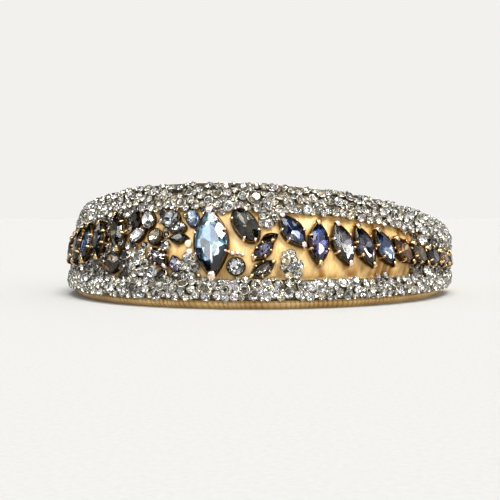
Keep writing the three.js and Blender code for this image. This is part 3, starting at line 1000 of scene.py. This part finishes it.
def make_band():
    """The satin band over its foam: wraps round the rolled edge, gathers and puckers in the field."""
    rows, columns = BAND_GRID
    pitch = bpy.context.scene.tiara_looks.wrap_pitch / MM
    even = np.linspace(-1, 1, columns)
    crowded = np.sin(np.radians(90) * even)
    angles = BAND_END * even * (1 - END_CROWDING) + BAND_END * END_CROWDING * crowded
    ups, outs, row_marks, marks = section_at(angles, rows)
    along = arc_along(angles)
    middle = (marks[:, 2] + marks[:, 4]) / 2
    gathered = np.interp(angles, *zip(*GATHERED))
    painted_shade = np.zeros_like(ups)
    for column in range(columns):
        for row in range(rows):
            mark, up, out = row_marks[row], ups[column, row], outs[column, row]
            if out < -4.9:
                continue
            spot = Vector((along[column] / 5.0, up / 9.0, 3.1))
            broad = noise.noise(Vector((along[column] / 14.0, up / 16.0, 8.7)))
            seam = min(abs(up - marks[column, 2]), abs(up - marks[column, 4]))
            pucker = noise.noise(spot) * (0.6 + 0.9 * math.exp(-seam / 2.5)) + 0.5 * broad
            field = np.interp(mark, (1.9, 2.15, 3.85, 4.1), (0, 1, 1, 0))
            roll = np.interp(mark, (0.0, 0.12, 0.85, 1.0), (0.35, 1, 1, 0))
            turn = math.pi * (along[column] + 0.35 * up + 2.2 * broad) / pitch
            uneven = 1 + 0.9 * noise.noise(Vector((along[column] / 3.1, 4.2, 0.5)))
            wrap = (abs(math.sin(turn)) ** 0.8 - 0.7) * uneven
            ridge = noise.noise(Vector((along[column] / GATHER_PITCH, up / 16.0, 5.5))) * gathered[column]
            move = field * (pucker * PUCKER_DEPTH + ridge * GATHER_DEPTH) + roll * wrap * WRAP_DEPTH
            # Painted shade: darker between the wraps of the rolled edge, with a darker mottle at random on
            # it, and in the field darker down in the puckers and between the gathered ridges.
            shadow = max(0, 0.05 - wrap) * 1.5 + max(0, 0.7 * broad)
            folded = max(0, -pucker) * 1.1 + max(0, 0.42 * gathered[column] - 1.8 * ridge)
            painted_shade[column, row] = field * folded + roll * shadow
            outs[column, row] += move
    full = fullness(angles, BAND_END, BAND_ROUNDING)[:, None]
    ups = middle[:, None] + (ups - middle[:, None]) * full
    outs = BAND_CORE + (outs - BAND_CORE) * full
    ups = np.maximum(ups, 0)
    free = [row for row in range(rows) if 1.95 < row_marks[row] < 4.05 and outs[columns // 2, row] > -4]
    field = slice(min(free), max(free) + 1)
    # The satin is left as it lies at the band's round ends, where the rows of the sheet meet.
    eased = np.arange(0, columns, CLOTH_STEP)
    eased = eased[np.abs(angles[eased]) < BAND_END - 0.6 * BAND_ROUNDING]
    moved = eased_on(angles[eased], ups[eased, field], outs[eased, field])
    finer = np.arange(columns)
    swell = np.stack([np.interp(finer, eased, row) for row in moved.T], -1)
    even_out = np.ones(FOLD_REACH) / FOLD_REACH
    level = np.stack([np.convolve(row, even_out, "same") for row in swell.T], -1)
    outs[:, field] += swell
    shown = np.clip((BORDER_END - np.abs(angles)) / FOLD_FADE, 0, 1)[:, None]
    # Painted shade where the eased satin lies lower than its neighbours.
    sunk_shade = np.clip((level - swell) * FOLD_CONTRAST, 0, 1) * shown
    painted_shade[:, field] = np.maximum(painted_shade[:, field], sunk_shade)
    bm = bmesh.new()
    strip_grid(bm, ups, outs, angles, painted_shade)
    band = into_object("satin_band_cover", bm, ["satin"], (0,), ["satin_band"])
    return band


# ---------------------------------------------------------------- the paved borders

BED_SECTION = (
    (0.5, -2.64),
    (0.02, -2.64),
    (0.0, -2.2),
    (0.12, -1.6),
    (0.32, -1.1),
    (0.5, -0.95),
    (0.68, -1.1),
    (0.88, -1.6),
    (1.0, -2.2),
    (0.98, -2.64),
)
BED_GRID = 24, 201  # rows round the section and columns along the strip


def make_bed(name, first_mark, replaced):
    """The stamped brass strip that the cups of a border are soldered to."""
    rows, columns = BED_GRID
    angles = BORDER_END * np.linspace(-1, 1, columns)
    marks = marks_round(angles)
    low, high = at_mark(marks, first_mark), at_mark(marks, first_mark + 1)
    weights = catmull_rom(len(BED_SECTION), rows)
    shares = weights @ np.array([share for share, out in BED_SECTION])
    outs = np.broadcast_to(weights @ np.array([out for share, out in BED_SECTION]), (columns, rows))
    full = fullness(angles, BORDER_END, BORDER_ROUNDING)[:, None]
    ups = low[:, None] + (high - low)[:, None] * (0.5 + (shares[None, :] - 0.5) * full)
    outs = BORDER_SEAT + (outs - BORDER_SEAT) * full
    bm = bmesh.new()
    strip_grid(bm, ups, outs, angles, np.zeros_like(ups))
    return into_object(name, bm, ["bed"], (0,), [replaced])


# Margins say how far stones may stand past the bed's edges, and the stray how much further they
# may wander over the satin of the field. The rounds are set first: (angle, mm up, size).
Border = namedtuple("Border", "name node first_mark low_margin high_margin low_stray high_stray seed rounds")
LOWER_ROUNDS = ((7.5, 0.6, 4.2), (-19, 0.2, 4.2))
UPPER_ROUNDS = ((12.6, -0.4, 5.6), (19, 1.2, 4.4))
BORDERS = (
    Border("lower_border", "lower_rhinestone_border", 1, 0.1, 0.9, 0, 2.4, 11, LOWER_ROUNDS),
    Border("upper_border", "upper_rhinestone_border", 4, 0.9, 0.9, 2.4, 0, 23, UPPER_ROUNDS),
)
STRAY_RUN = 7.0  # mm along the band from one bulge of a border's edge to the next
DOME_LEAN = 50  # degrees between the facing of a border's two edges
DOME_FALL = 2.6  # mm by which a stone a whole breadth off the middle would lie lower
GIRDLE_RISE = 0.24  # from a small stone's girdle to its table, as a share of its size
TILT_JITTER = 17  # degrees by which the setter's hand is out, at most
STRAY_DROP = 1.6  # a stone this far past the bed's edge, in mm, stands on the satin
PAVING_SIZES = ((3.8, 90), (3.3, 260), (2.9, 900), (2.6, 1800), (2.3, 3200), (2.0, 4200), (1.7, 4200))
PAVING_PACK = 0.485  # two stones' middles come this near, as a share of their sizes together
PAVING_LOOKS = ["clear", "foil", "cup"]
WHITES = ("#FFFFFF", "#FFFDF6", "#F6F4EA", "#E6E4DA", "#FFF4DC", "#D4D6D6", "#F4EEF2")


def paved(pick, sizes, fixed=(), near=4.0):
    """Places for stones of falling size, each thrown at random and kept where it is clear of the
    others: (along, across, size). The function pick returns a place for a size, or None."""
    scale = bpy.context.scene.tiara_looks.paving_size
    cells = {}
    spots = list(fixed)
    for x, y, size in fixed:
        cells.setdefault((int(x // near), int(y // near)), []).append((x, y, size))
    for size, throws in ((size * scale, throws) for size, throws in sizes):
        for _ in range(throws):
            spot = pick(size)
            if spot is None:
                continue
            x, y = spot
            home = (int(x // near), int(y // near))
            nearby = [(home[0] + i, home[1] + j) for i in (-1, 0, 1) for j in (-1, 0, 1)]
            around = [s for cell in nearby for s in cells.get(cell, ())]
            if all(math.hypot(s[0] - x, s[1] - y) > (s[2] + size) * PAVING_PACK for s in around):
                cells.setdefault(home, []).append((x, y, size))
                spots.append((x, y, size))
    return spots


def border_places(border, rng):
    """Where a border's stones sit, as (angle, mm up from its middle, size)."""
    fine = np.linspace(-BORDER_END + 2, BORDER_END - 2, 801)
    along = arc_along(fine)
    marks = marks_round(fine)
    widths = marks[:, border.first_mark + 1] - marks[:, border.first_mark]
    full = fullness(fine, BORDER_END, BORDER_ROUNDING)

    def pick(size):
        at = rng.uniform(along[0], along[-1])
        breadth, kept = float(np.interp(at, along, widths)), float(np.interp(at, along, full))
        wander = [max(0, noise.noise(Vector((at / STRAY_RUN, side, border.seed)))) for side in (1.5, 7.5)]
        low = -breadth / 2 + size * 0.42 - border.low_margin - border.low_stray * wander[0] * 2
        high = breadth / 2 - size * 0.42 + border.high_margin + border.high_stray * wander[1] * 2
        return at, rng.uniform(low, high) * kept

    rounds = [(float(np.interp(angle, fine, along)), rise, size) for angle, rise, size in border.rounds]
    spots = paved(pick, PAVING_SIZES, rounds)
    return [(float(np.interp(at, along, fine)), rise, size) for at, rise, size in spots]


def make_border(border, template):
    """A border's cup-set stones, crowded over a dome with the setter's unevenness."""
    rng = random.Random(border.seed)
    frames, tints = [], []
    for angle, rise, size in border_places(border, rng):
        marks = marks_round(angle)
        low, high = float(marks[border.first_mark]), float(marks[border.first_mark + 1])
        across = min(max(rise / (high - low), -0.55), 0.55)
        out = BORDER_CREST - GIRDLE_RISE * size - DOME_FALL * across**2 - rng.uniform(0, 0.5)
        out -= 0.3 * (size < 2.6)
        up = (low + high) / 2 + rise
        past = min(max(low - up, up - high, 0) / STRAY_DROP, 1)
        out += (satin_out(angle, up) + 0.5 * size - out) * past
        base = surface_frame(angle, up, out)
        jitter = [rng.uniform(-TILT_JITTER, TILT_JITTER) for _ in "xy"]
        lean = leant(-across * DOME_LEAN + jitter[0], jitter[1], 0)
        spin = Matrix.Rotation(rng.uniform(0, math.pi), 4, "Z")
        frames.append(base @ lean @ spin @ Matrix.Diagonal((size, size, size, 1)))
        tints.append(linear(rng.choice(WHITES))[:3])
    name = f"{border.name}_rhinestones"
    make_bed(f"{border.name}_bed", border.first_mark, border.node)
    return scattered(name, template, frames, tints, rng, PAVING_LOOKS, [border.node])


# ---------------------------------------------------------------- stones


def make_large_stones():
    """The stones of the claw settings, each in its seat."""
    rng = random.Random(5)
    for stone in STONES:
        sides = 32 if stone.width > 10 else 24 if stone.width > 5 else 16
        bm = foiled_stone(stone, stone_levels(stone), sides, rng)
        bmesh.ops.transform(bm, matrix=seat(stone), verts=bm.verts)
        looks, node = [stone.slot, "foil"], f"stone_{stone.name}"
        into_object(f"cut_{stone.name}", bm, looks, (), [node])


def make_settings():
    """A setting for each large stone."""
    for stone in STONES:
        bm = setting(stone)
        bmesh.ops.transform(bm, matrix=seat(stone), verts=bm.verts)
        metal = "rose" if stone.name in ROSE_CLAWS else "gold"
        node = f"claws_{stone.name}"
        into_object(f"setting_{stone.name}", bm, ["collar", metal], (0, 1), [node])


ROSE_CLAWS = ("front", "right_01", "right_04", "right_06", "left_01")
# The heights of the closed-cup stones' feet, girdles and tables, and each cup's foot, lip and teeth.
CUPPED_LEVELS, CUPPED_WALL = (0.4, 1.55, 1.9, 3.2), (0.0, 2.05, 14)
ACCENT_LEVELS, ACCENT_WALL = (0.1, 1.2, 1.5, 2.5), (-0.25, 1.55, 12)


def cup_wall(stone, low, height, teeth):
    """A closed cup whose edge is folded over the stone in small teeth."""
    bm = bmesh.new()
    wall = ((0.42, low), (0.5, low + 0.25), (0.5, height - 0.35), (0.36, height))
    profile = (*wall, (-0.02, height + 0.12), (0.14, height - 0.2))
    rings = lofted(bm, stone, profile, teeth * 2, closed=False)
    lip = {v for edge in rings[4] for v in edge.verts}
    for vert in lip:
        turn = math.atan2(vert.co.y / stone.length, vert.co.x / stone.width)
        if round(turn / math.pi * teeth) % 2:
            vert.co.x *= 1.05
            vert.co.y *= 1.05
            vert.co.z -= 0.18
    bmesh.ops.recalc_face_normals(bm, faces=bm.faces)
    return bm


def set_in_cup(name, stone, levels, wall, sides, rng, replaced=()):
    """A foiled stone in a closed cup, in its seat."""
    bm = foiled_stone(stone, levels, sides, rng)
    join_bmesh(bm, cup_wall(stone, *wall), 2)
    bmesh.ops.transform(bm, matrix=seat(stone), verts=bm.verts)
    into_object(name, bm, [stone.slot, "foil", "collar"], (2,), replaced)


def make_cupped_stones():
    """The closed-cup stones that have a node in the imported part."""
    rng = random.Random(17)
    for stone in CUPPED_STONES:
        set_in_cup(f"set_{stone.name}", stone, CUPPED_LEVELS, CUPPED_WALL, 24, rng, [stone.name])


def make_accents():
    """The closed-cup stones that are added here."""
    rng = random.Random(31)
    for stone in ACCENTS:
        set_in_cup(stone.name, stone, ACCENT_LEVELS, ACCENT_WALL, 20, rng)


FILLER_PAVING = ((4.0, 300), (3.4, 400), (2.9, 700), (2.4, 1000), (2.0, 1200))
# From and to in degrees, and how many of the throws count.
FILLER_ARCS = ((-97.0, -17.0, 0.95), (-17.0, -8.5, 0.12), (60.0, 97.0, 0.6))
FILLER_TINTS = ("#FFFFFF", "#DDE0E0", "#8A8C8C", "#3A342A", "#7C5C30", "#1E1A18", "#2C2A26")
FILLER_CLEARANCE = 0.45


def field_clear(angle, up, size, items):
    """True if a small stone there is clear of every larger one's setting."""
    spot = Vector(place(angle, up, 0))
    for item in items:
        if abs(item.angle - angle) > 16:
            continue
        local = seat(item).inverted() @ spot
        room = size / 2 + FILLER_CLEARANCE
        if math.hypot(local.x / (item.width / 2 + room), local.y / (item.length / 2 + room)) < 1:
            return False
    return True


def make_fillers(template):
    """Small cup-set stones strewn over the field between the large ones, towards the ends."""
    rng = random.Random(53)
    larger = [*STONES, *CUPPED_STONES, *ACCENTS, *MOTIFS]
    frames, tints = [], []
    for start, stop, density in FILLER_ARCS:
        low, high = arc_along(np.array((start, stop)))
        fine = np.linspace(start, stop, 200)
        along = arc_along(fine)

        def pick(size):
            at = rng.uniform(low, high)
            angle = float(np.interp(at, along, fine))
            marks = marks_round(angle)
            up = rng.uniform(marks[2] + size * 0.45, marks[4] - size * 0.45)
            if rng.random() > density or not field_clear(angle, up, size, larger):
                return None
            return at, up

        for at, up, size in paved(pick, FILLER_PAVING):
            angle = float(np.interp(at, along, fine))
            base = surface_frame(angle, up, satin_out(angle, up) + 0.5 * size + rng.uniform(0.0, 0.5))
            lean = leant(*(rng.uniform(-TILT_JITTER, TILT_JITTER) for _ in "xyz"))
            frames.append(base @ (lean @ Matrix.Diagonal((size, size, size, 1))))
            tints.append(linear(rng.choice(FILLER_TINTS))[:3])
    scattered("strewn_rhinestones", template, frames, tints, rng, PAVING_LOOKS, [])


BEADS = (
    # angle, up, size, material
    (-2.9, 24.9, 2.9, "pearl"),
    (-2.3, 21.7, 2.7, "pearl"),
    (7.2, 21.9, 1.9, "rose"),
    (8.4, 21.5, 2.1, "rose"),
    (9.7, 21.6, 1.9, "rose"),
    (10.9, 21.0, 1.7, "rose"),
    (13.6, 20.4, 2.1, "rose"),
    (-5.0, 35.9, 2.4, "gold"),
    (0.2, 12.9, 1.8, "rose"),
)


BEAD_SQUASH, BEAD_LIFT = 0.86, 0.15  # height over breadth, and mm off the smooth satin


def make_beads():
    """Seed beads and pearls sewn down between the stones, each standing just off the satin."""
    for n, (angle, up, size, metal) in enumerate(BEADS):
        bm = bmesh.new()
        bmesh.ops.create_icosphere(bm, subdivisions=3, radius=size / 2)
        bmesh.ops.scale(bm, vec=(1, 1, BEAD_SQUASH), verts=bm.verts)
        base = surface_frame(angle, up, satin_out(angle, up))
        lift = Matrix.Translation((0, 0, size * BEAD_SQUASH / 2 + BEAD_LIFT))
        bmesh.ops.transform(bm, matrix=base @ lift, verts=bm.verts)
        into_object(f"bead_{n + 1:02d}", bm, [metal], (0,))


# ---------------------------------------------------------------- paved motifs


def make_motif(motif, template, rng):
    """A dome of small cup-set stones that grows out of a border."""
    dome = bmesh.new()
    stone = Stone("", "oval", 0, 0, motif.length, motif.width, 0, "", "", "", "")
    profile = ((1, 0.0), (1.0, 0.2), (0.92, 0.6), (0.7, 1.0), (0.4, 1.2), (0.12, 1.25))
    rings = [outline_ring(dome, stone, share, 0, height, 28) for share, height in profile]
    bridged(dome, rings)
    bmesh.ops.contextual_create(dome, geom=rings[0])
    bmesh.ops.contextual_create(dome, geom=rings[-1])
    bmesh.ops.recalc_face_normals(dome, faces=dome.faces)
    base = seat(motif)
    bmesh.ops.transform(dome, matrix=base, verts=dome.verts)
    into_object(f"{motif.name}_dome", dome, ["bed"], (0,), [motif.name])

    def pick(size):
        turn, share = rng.uniform(0, 2 * math.pi), math.sqrt(rng.random())
        return motif.width / 2 * share * math.cos(turn), motif.length / 2 * share * math.sin(turn)

    spots = paved(pick, MOTIF_PAVING)
    frames, tints = [], []
    for x, y, size in spots:
        out_x, out_y = x / (motif.width / 2), y / (motif.length / 2)
        share = math.hypot(out_x, out_y)
        height = MOTIF_HEIGHT - GIRDLE_RISE * size - MOTIF_FALL * share**2
        jitter = [rng.uniform(-MOTIF_JITTER, MOTIF_JITTER) for _ in "xy"]
        lean = leant(-MOTIF_LEAN * out_y + jitter[0], MOTIF_LEAN * out_x + jitter[1], 0)
        spin = Matrix.Rotation(rng.uniform(0, math.pi), 4, "Z")
        spot = base @ Matrix.Translation((x, y, height))
        frames.append(spot @ lean @ spin @ Matrix.Diagonal((size, size, size, 1)))
        tints.append(linear(rng.choice(WHITES))[:3])
    name = f"{motif.name}_rhinestones"
    scattered(name, template, frames, tints, rng, PAVING_LOOKS, [motif.name])


# ---------------------------------------------------------------- stage


HEAD_CENTRE = Vector((0, 0.0293, 0.02))
CAMERA_AZIMUTH, CAMERA_ELEVATION, CAMERA_DISTANCE = 15, 2, 0.437
AIM = Vector((0.0035, -0.005, 0.0195))
LENS = 68


def way_back(turn, rise):
    """The direction from the tiara to a camera or lamp, in radians round from the front and up."""
    return Vector((math.sin(turn) * math.cos(rise), -math.cos(turn) * math.cos(rise), math.sin(rise)))


def area_light(name, azimuth, elevation, distance, size, power, colour, target):
    """A soft box, aimed at the tiara; azimuth 0 is in front of it and 90 at its +X side."""
    lamp = bpy.data.lights.new(name, "AREA")
    lamp.shape = "RECTANGLE"
    lamp.size, lamp.size_y = size
    lamp.energy = power
    lamp.color = linear(colour)[:3]
    obj = in_scene(name, lamp)
    back = way_back(math.radians(azimuth), math.radians(elevation))
    obj.location = target + back * distance
    obj.rotation_euler = back.to_track_quat("Z", "Y").to_euler()
    obj.visible_camera = False
    return obj


SOFT_BOXES = (
    # name, azimuth, elevation, distance, (width, height), watts, colour
    ("key_box", 58, 50, 0.9, (0.34, 0.2), 6.1, "#FFF4E2"),
    ("front_box", -21, 47, 0.9, (0.52, 0.5), 4.6, "#FFFFFF"),
    ("top_box", 40, 72, 0.8, (0.4, 0.16), 3, "#FFFFFF"),
    ("low_strip", 30, 8, 0.9, (0.34, 0.05), 2.0, "#FFFAF0"),
    ("back_box", 190, 40, 1.0, (0.6, 0.3), 2, "#FFFFFF"),
)
FLOOR_SUN = 2.1  # watts a square metre, from high up, on the floor alone
ROOM_LIGHT = 1.1
PAPER_WHITE = "#F2F1EE"


def light_only(lamp, obj, state):
    """Has a lamp light only this object, or everything but this object."""
    named = bpy.data.collections.new(f"{lamp.name}_{state.lower()}")
    named.objects.link(obj)
    lamp.light_linking.receiver_collection = named
    named.collection_objects[0].light_linking.link_state = state


def make_floor():
    """A wide table of pale paper, evenly lit from high above by a lamp of its own."""
    bm = bmesh.new()
    bmesh.ops.create_circle(bm, cap_ends=True, segments=64, radius=6.0)
    mesh = bpy.data.meshes.new("paper_table")
    bm.to_mesh(mesh)
    bm.free()
    mesh.materials.append(paper_material())
    floor = in_scene("paper_table", mesh)
    sun = bpy.data.lights.new("floor_sun", "SUN")
    sun.energy, sun.angle = FLOOR_SUN, math.radians(40)
    lamp = in_scene("floor_sun", sun)
    lamp.rotation_euler = (math.radians(14), math.radians(10), 0)
    light_only(lamp, floor, "INCLUDE")
    return floor


def make_world():
    """A dark room hung with white cards, so that the facets throw back both light and dark. The
    camera itself sees plain pale paper."""
    world = bpy.data.worlds.new("studio_room")
    world.use_nodes = True
    tree = world.node_tree
    tree.nodes.clear()
    facing = add_node(tree, "ShaderNodeTexCoord").outputs["Generated"]
    spots = add_node(tree, "ShaderNodeTexNoise", {"Vector": facing, "Scale": 2.6, "Detail": 1.5}).outputs[0]
    edges = ((0.4, 0.04), (0.465, 0.14), (0.51, 1.0))
    cards = add_node(tree, "ShaderNodeValToRGB", {0: spots}, stops=edges).outputs[0]
    aside = add_node(tree, "ShaderNodeSeparateXYZ", {0: facing}).outputs["X"]
    sides = {"Value": aside, "From Min": -0.9, "From Max": 0.3, "To Min": 0.4}
    fall = add_node(tree, "ShaderNodeMapRange", sides)
    cards = add_node(
        tree, "ShaderNodeMix", {0: 1.0, 6: cards, 7: fall.outputs[0]}, data_type="RGBA", blend_type="MULTIPLY"
    ).outputs[2]
    lit = add_node(tree, "ShaderNodeBackground", {"Color": cards, "Strength": ROOM_LIGHT}).outputs[0]
    pale = add_node(tree, "ShaderNodeBackground", {"Color": linear(PAPER_WHITE), "Strength": 1.0}).outputs[0]
    seen = add_node(tree, "ShaderNodeLightPath").outputs["Is Camera Ray"]
    mixed = add_node(tree, "ShaderNodeMixShader", {0: seen, 1: lit, 2: pale}).outputs[0]
    add_node(tree, "ShaderNodeOutputWorld", {"Surface": mixed})
    bpy.context.scene.world = world


def make_camera():
    """The camera, and plain colours for the picture."""
    looks = bpy.context.scene.tiara_looks
    camera = bpy.data.cameras.new("camera")
    camera.sensor_width = 36
    camera.lens = looks.lens
    camera.clip_start, camera.clip_end = 0.01, 20
    obj = in_scene("camera", camera)
    obj.location = HEAD_CENTRE + way_back(looks.azimuth, looks.elevation) * CAMERA_DISTANCE
    obj.rotation_euler = (obj.location - AIM).to_track_quat("Z", "Y").to_euler()
    bpy.context.scene.camera = obj
    bpy.context.scene.view_settings.view_transform = "Standard"


# ---------------------------------------------------------------- the add-on


def colour_choice(name, description, colour):
    """A colour that a user may change, from a hex value."""
    return bpy.props.FloatVectorProperty(
        name=name, description=description, default=linear(colour)[:3], min=0, max=1, subtype="COLOR"
    )


def angle_choice(name, description, degrees):
    """An angle that a user may change."""
    return bpy.props.FloatProperty(
        name=name,
        description=description,
        default=math.radians(degrees),
        subtype="ANGLE",
        unit="ROTATION",
    )


class TiaraLooks(bpy.types.PropertyGroup):
    """What a user would change about the tiara and its stage."""

    satin: colour_choice("Satin", "Colour of the satin in the light", "#D8B678")
    # Painted shade: the darker colour mixed into the satin down in its folds and gathers.
    folds: colour_choice("Folds", "Colour of the satin down in its folds and gathers", "#92621F")
    claws: colour_choice("Claws", "Plating of most claws", "#F0D2A0")
    rose_claws: colour_choice("Rose Claws", "Plating of the palest claws", "#FBE6DA")
    cups: colour_choice("Cups", "Plating of the rhinestones' cups", "#D6D2C6")
    collars: colour_choice("Collars", "Dark brass of the large stones' collars", "#57442A")
    paving_size: bpy.props.FloatProperty(
        name="Paving Size",
        description="Size of the paving stones against the usual",
        default=1.0,
        min=0.7,
        max=1.3,
    )
    wrap_pitch: bpy.props.FloatProperty(
        name="Wrap Pitch",
        description="Spacing of the satin wraps round the rolled edge",
        default=WRAP_PITCH * MM,
        min=0.001,
        max=0.01,
        precision=4,
        subtype="DISTANCE",
        unit="LENGTH",
    )
    ease: bpy.props.FloatProperty(
        name="Ease",
        description="How much larger the satin is cut than the foam under it",
        default=EASE,
        min=0.0,
        max=0.3,
        subtype="FACTOR",
    )
    azimuth: angle_choice(
        "Azimuth", "How far round the camera stands, from straight in front", CAMERA_AZIMUTH
    )
    elevation: angle_choice("Elevation", "How far above the table the camera stands", CAMERA_ELEVATION)
    lens: bpy.props.FloatProperty(
        name="Lens", description="Focal length of the camera, in millimetres", default=LENS, unit="CAMERA"
    )
    light: bpy.props.FloatProperty(
        name="Light", description="How strong the soft boxes are", default=1.0, min=0.0, subtype="FACTOR"
    )


class TIARA_OT_stage(bpy.types.Operator):
    """Sets up the paper table, the soft boxes, the room and the camera"""

    bl_idname = "tiara.stage"
    bl_label = "Stage"

    def execute(self, context):
        floor = make_floor()
        make_world()
        for name, azimuth, elevation, distance, size, power, colour in SOFT_BOXES:
            strength = power * context.scene.tiara_looks.light
            lamp = area_light(name, azimuth, elevation, distance, size, strength, colour, AIM)
            light_only(lamp, floor, "EXCLUDE")
        make_camera()
        return {"FINISHED"}


class TIARA_OT_band(bpy.types.Operator):
    """Makes the padded satin band"""

    bl_idname = "tiara.band"
    bl_label = "Satin Band"

    def execute(self, context):
        make_band()
        return {"FINISHED"}


class TIARA_OT_borders(bpy.types.Operator):
    """Makes the two rhinestone borders on their brass beds"""

    bl_idname = "tiara.borders"
    bl_label = "Rhinestone Borders"

    def execute(self, context):
        template = chaton_template()
        for border in BORDERS:
            make_border(border, template)
        return {"FINISHED"}


class TIARA_OT_motifs(bpy.types.Operator):
    """Makes the paved motifs that grow out of the borders"""

    bl_idname = "tiara.motifs"
    bl_label = "Paved Motifs"

    def execute(self, context):
        template = chaton_template()
        rng = random.Random(41)
        for motif in MOTIFS:
            make_motif(motif, template, rng)
        return {"FINISHED"}


class TIARA_OT_stones(bpy.types.Operator):
    """Cuts the large foil-backed stones"""

    bl_idname = "tiara.stones"
    bl_label = "Large Stones"

    def execute(self, context):
        make_large_stones()
        return {"FINISHED"}


class TIARA_OT_settings(bpy.types.Operator):
    """Makes the collars and claws that hold the large stones"""

    bl_idname = "tiara.settings"
    bl_label = "Claw Settings"

    def execute(self, context):
        make_settings()
        return {"FINISHED"}


class TIARA_OT_cupped(bpy.types.Operator):
    """Makes the small stones in closed cups"""

    bl_idname = "tiara.cupped"
    bl_label = "Cupped Stones"

    def execute(self, context):
        make_cupped_stones()
        return {"FINISHED"}


class TIARA_OT_accents(bpy.types.Operator):
    """Sews the small accent stones and beads between the large ones"""

    bl_idname = "tiara.accents"
    bl_label = "Accents and Beads"

    def execute(self, context):
        make_accents()
        make_beads()
        make_fillers(chaton_template())
        return {"FINISHED"}


class TIARA_PT_panel(bpy.types.Panel):
    """Lists the steps that build the tiara"""

    bl_label = "Tiara"
    bl_idname = "TIARA_PT_panel"
    bl_space_type = "VIEW_3D"
    bl_region_type = "UI"
    bl_category = "Tiara"

    def draw(self, context):
        looks = context.scene.tiara_looks
        for name in TiaraLooks.__annotations__:
            self.layout.prop(looks, name)
        for operator in STEPS:
            self.layout.operator(operator.bl_idname)


STEPS = (
    TIARA_OT_stage,
    TIARA_OT_band,
    TIARA_OT_borders,
    TIARA_OT_motifs,
    TIARA_OT_stones,
    TIARA_OT_settings,
    TIARA_OT_cupped,
    TIARA_OT_accents,
)
CLASSES = (TiaraLooks, *STEPS, TIARA_PT_panel)


def register():
    """Registers the classes, and gives the scene its looks."""
    for cls in CLASSES:
        bpy.utils.register_class(cls)
    bpy.types.Scene.tiara_looks = bpy.props.PointerProperty(type=TiaraLooks)


def unregister():
    """Takes it all back."""
    del bpy.types.Scene.tiara_looks
    for cls in reversed(CLASSES):
        bpy.utils.unregister_class(cls)


def main():
    """Registers the add-on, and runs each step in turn."""
    register()
    for operator in STEPS:
        group, step = operator.bl_idname.split(".")
        getattr(getattr(bpy.ops, group), step)()
    bpy.context.view_layer.update()


if __name__ == "__main__":
    main()
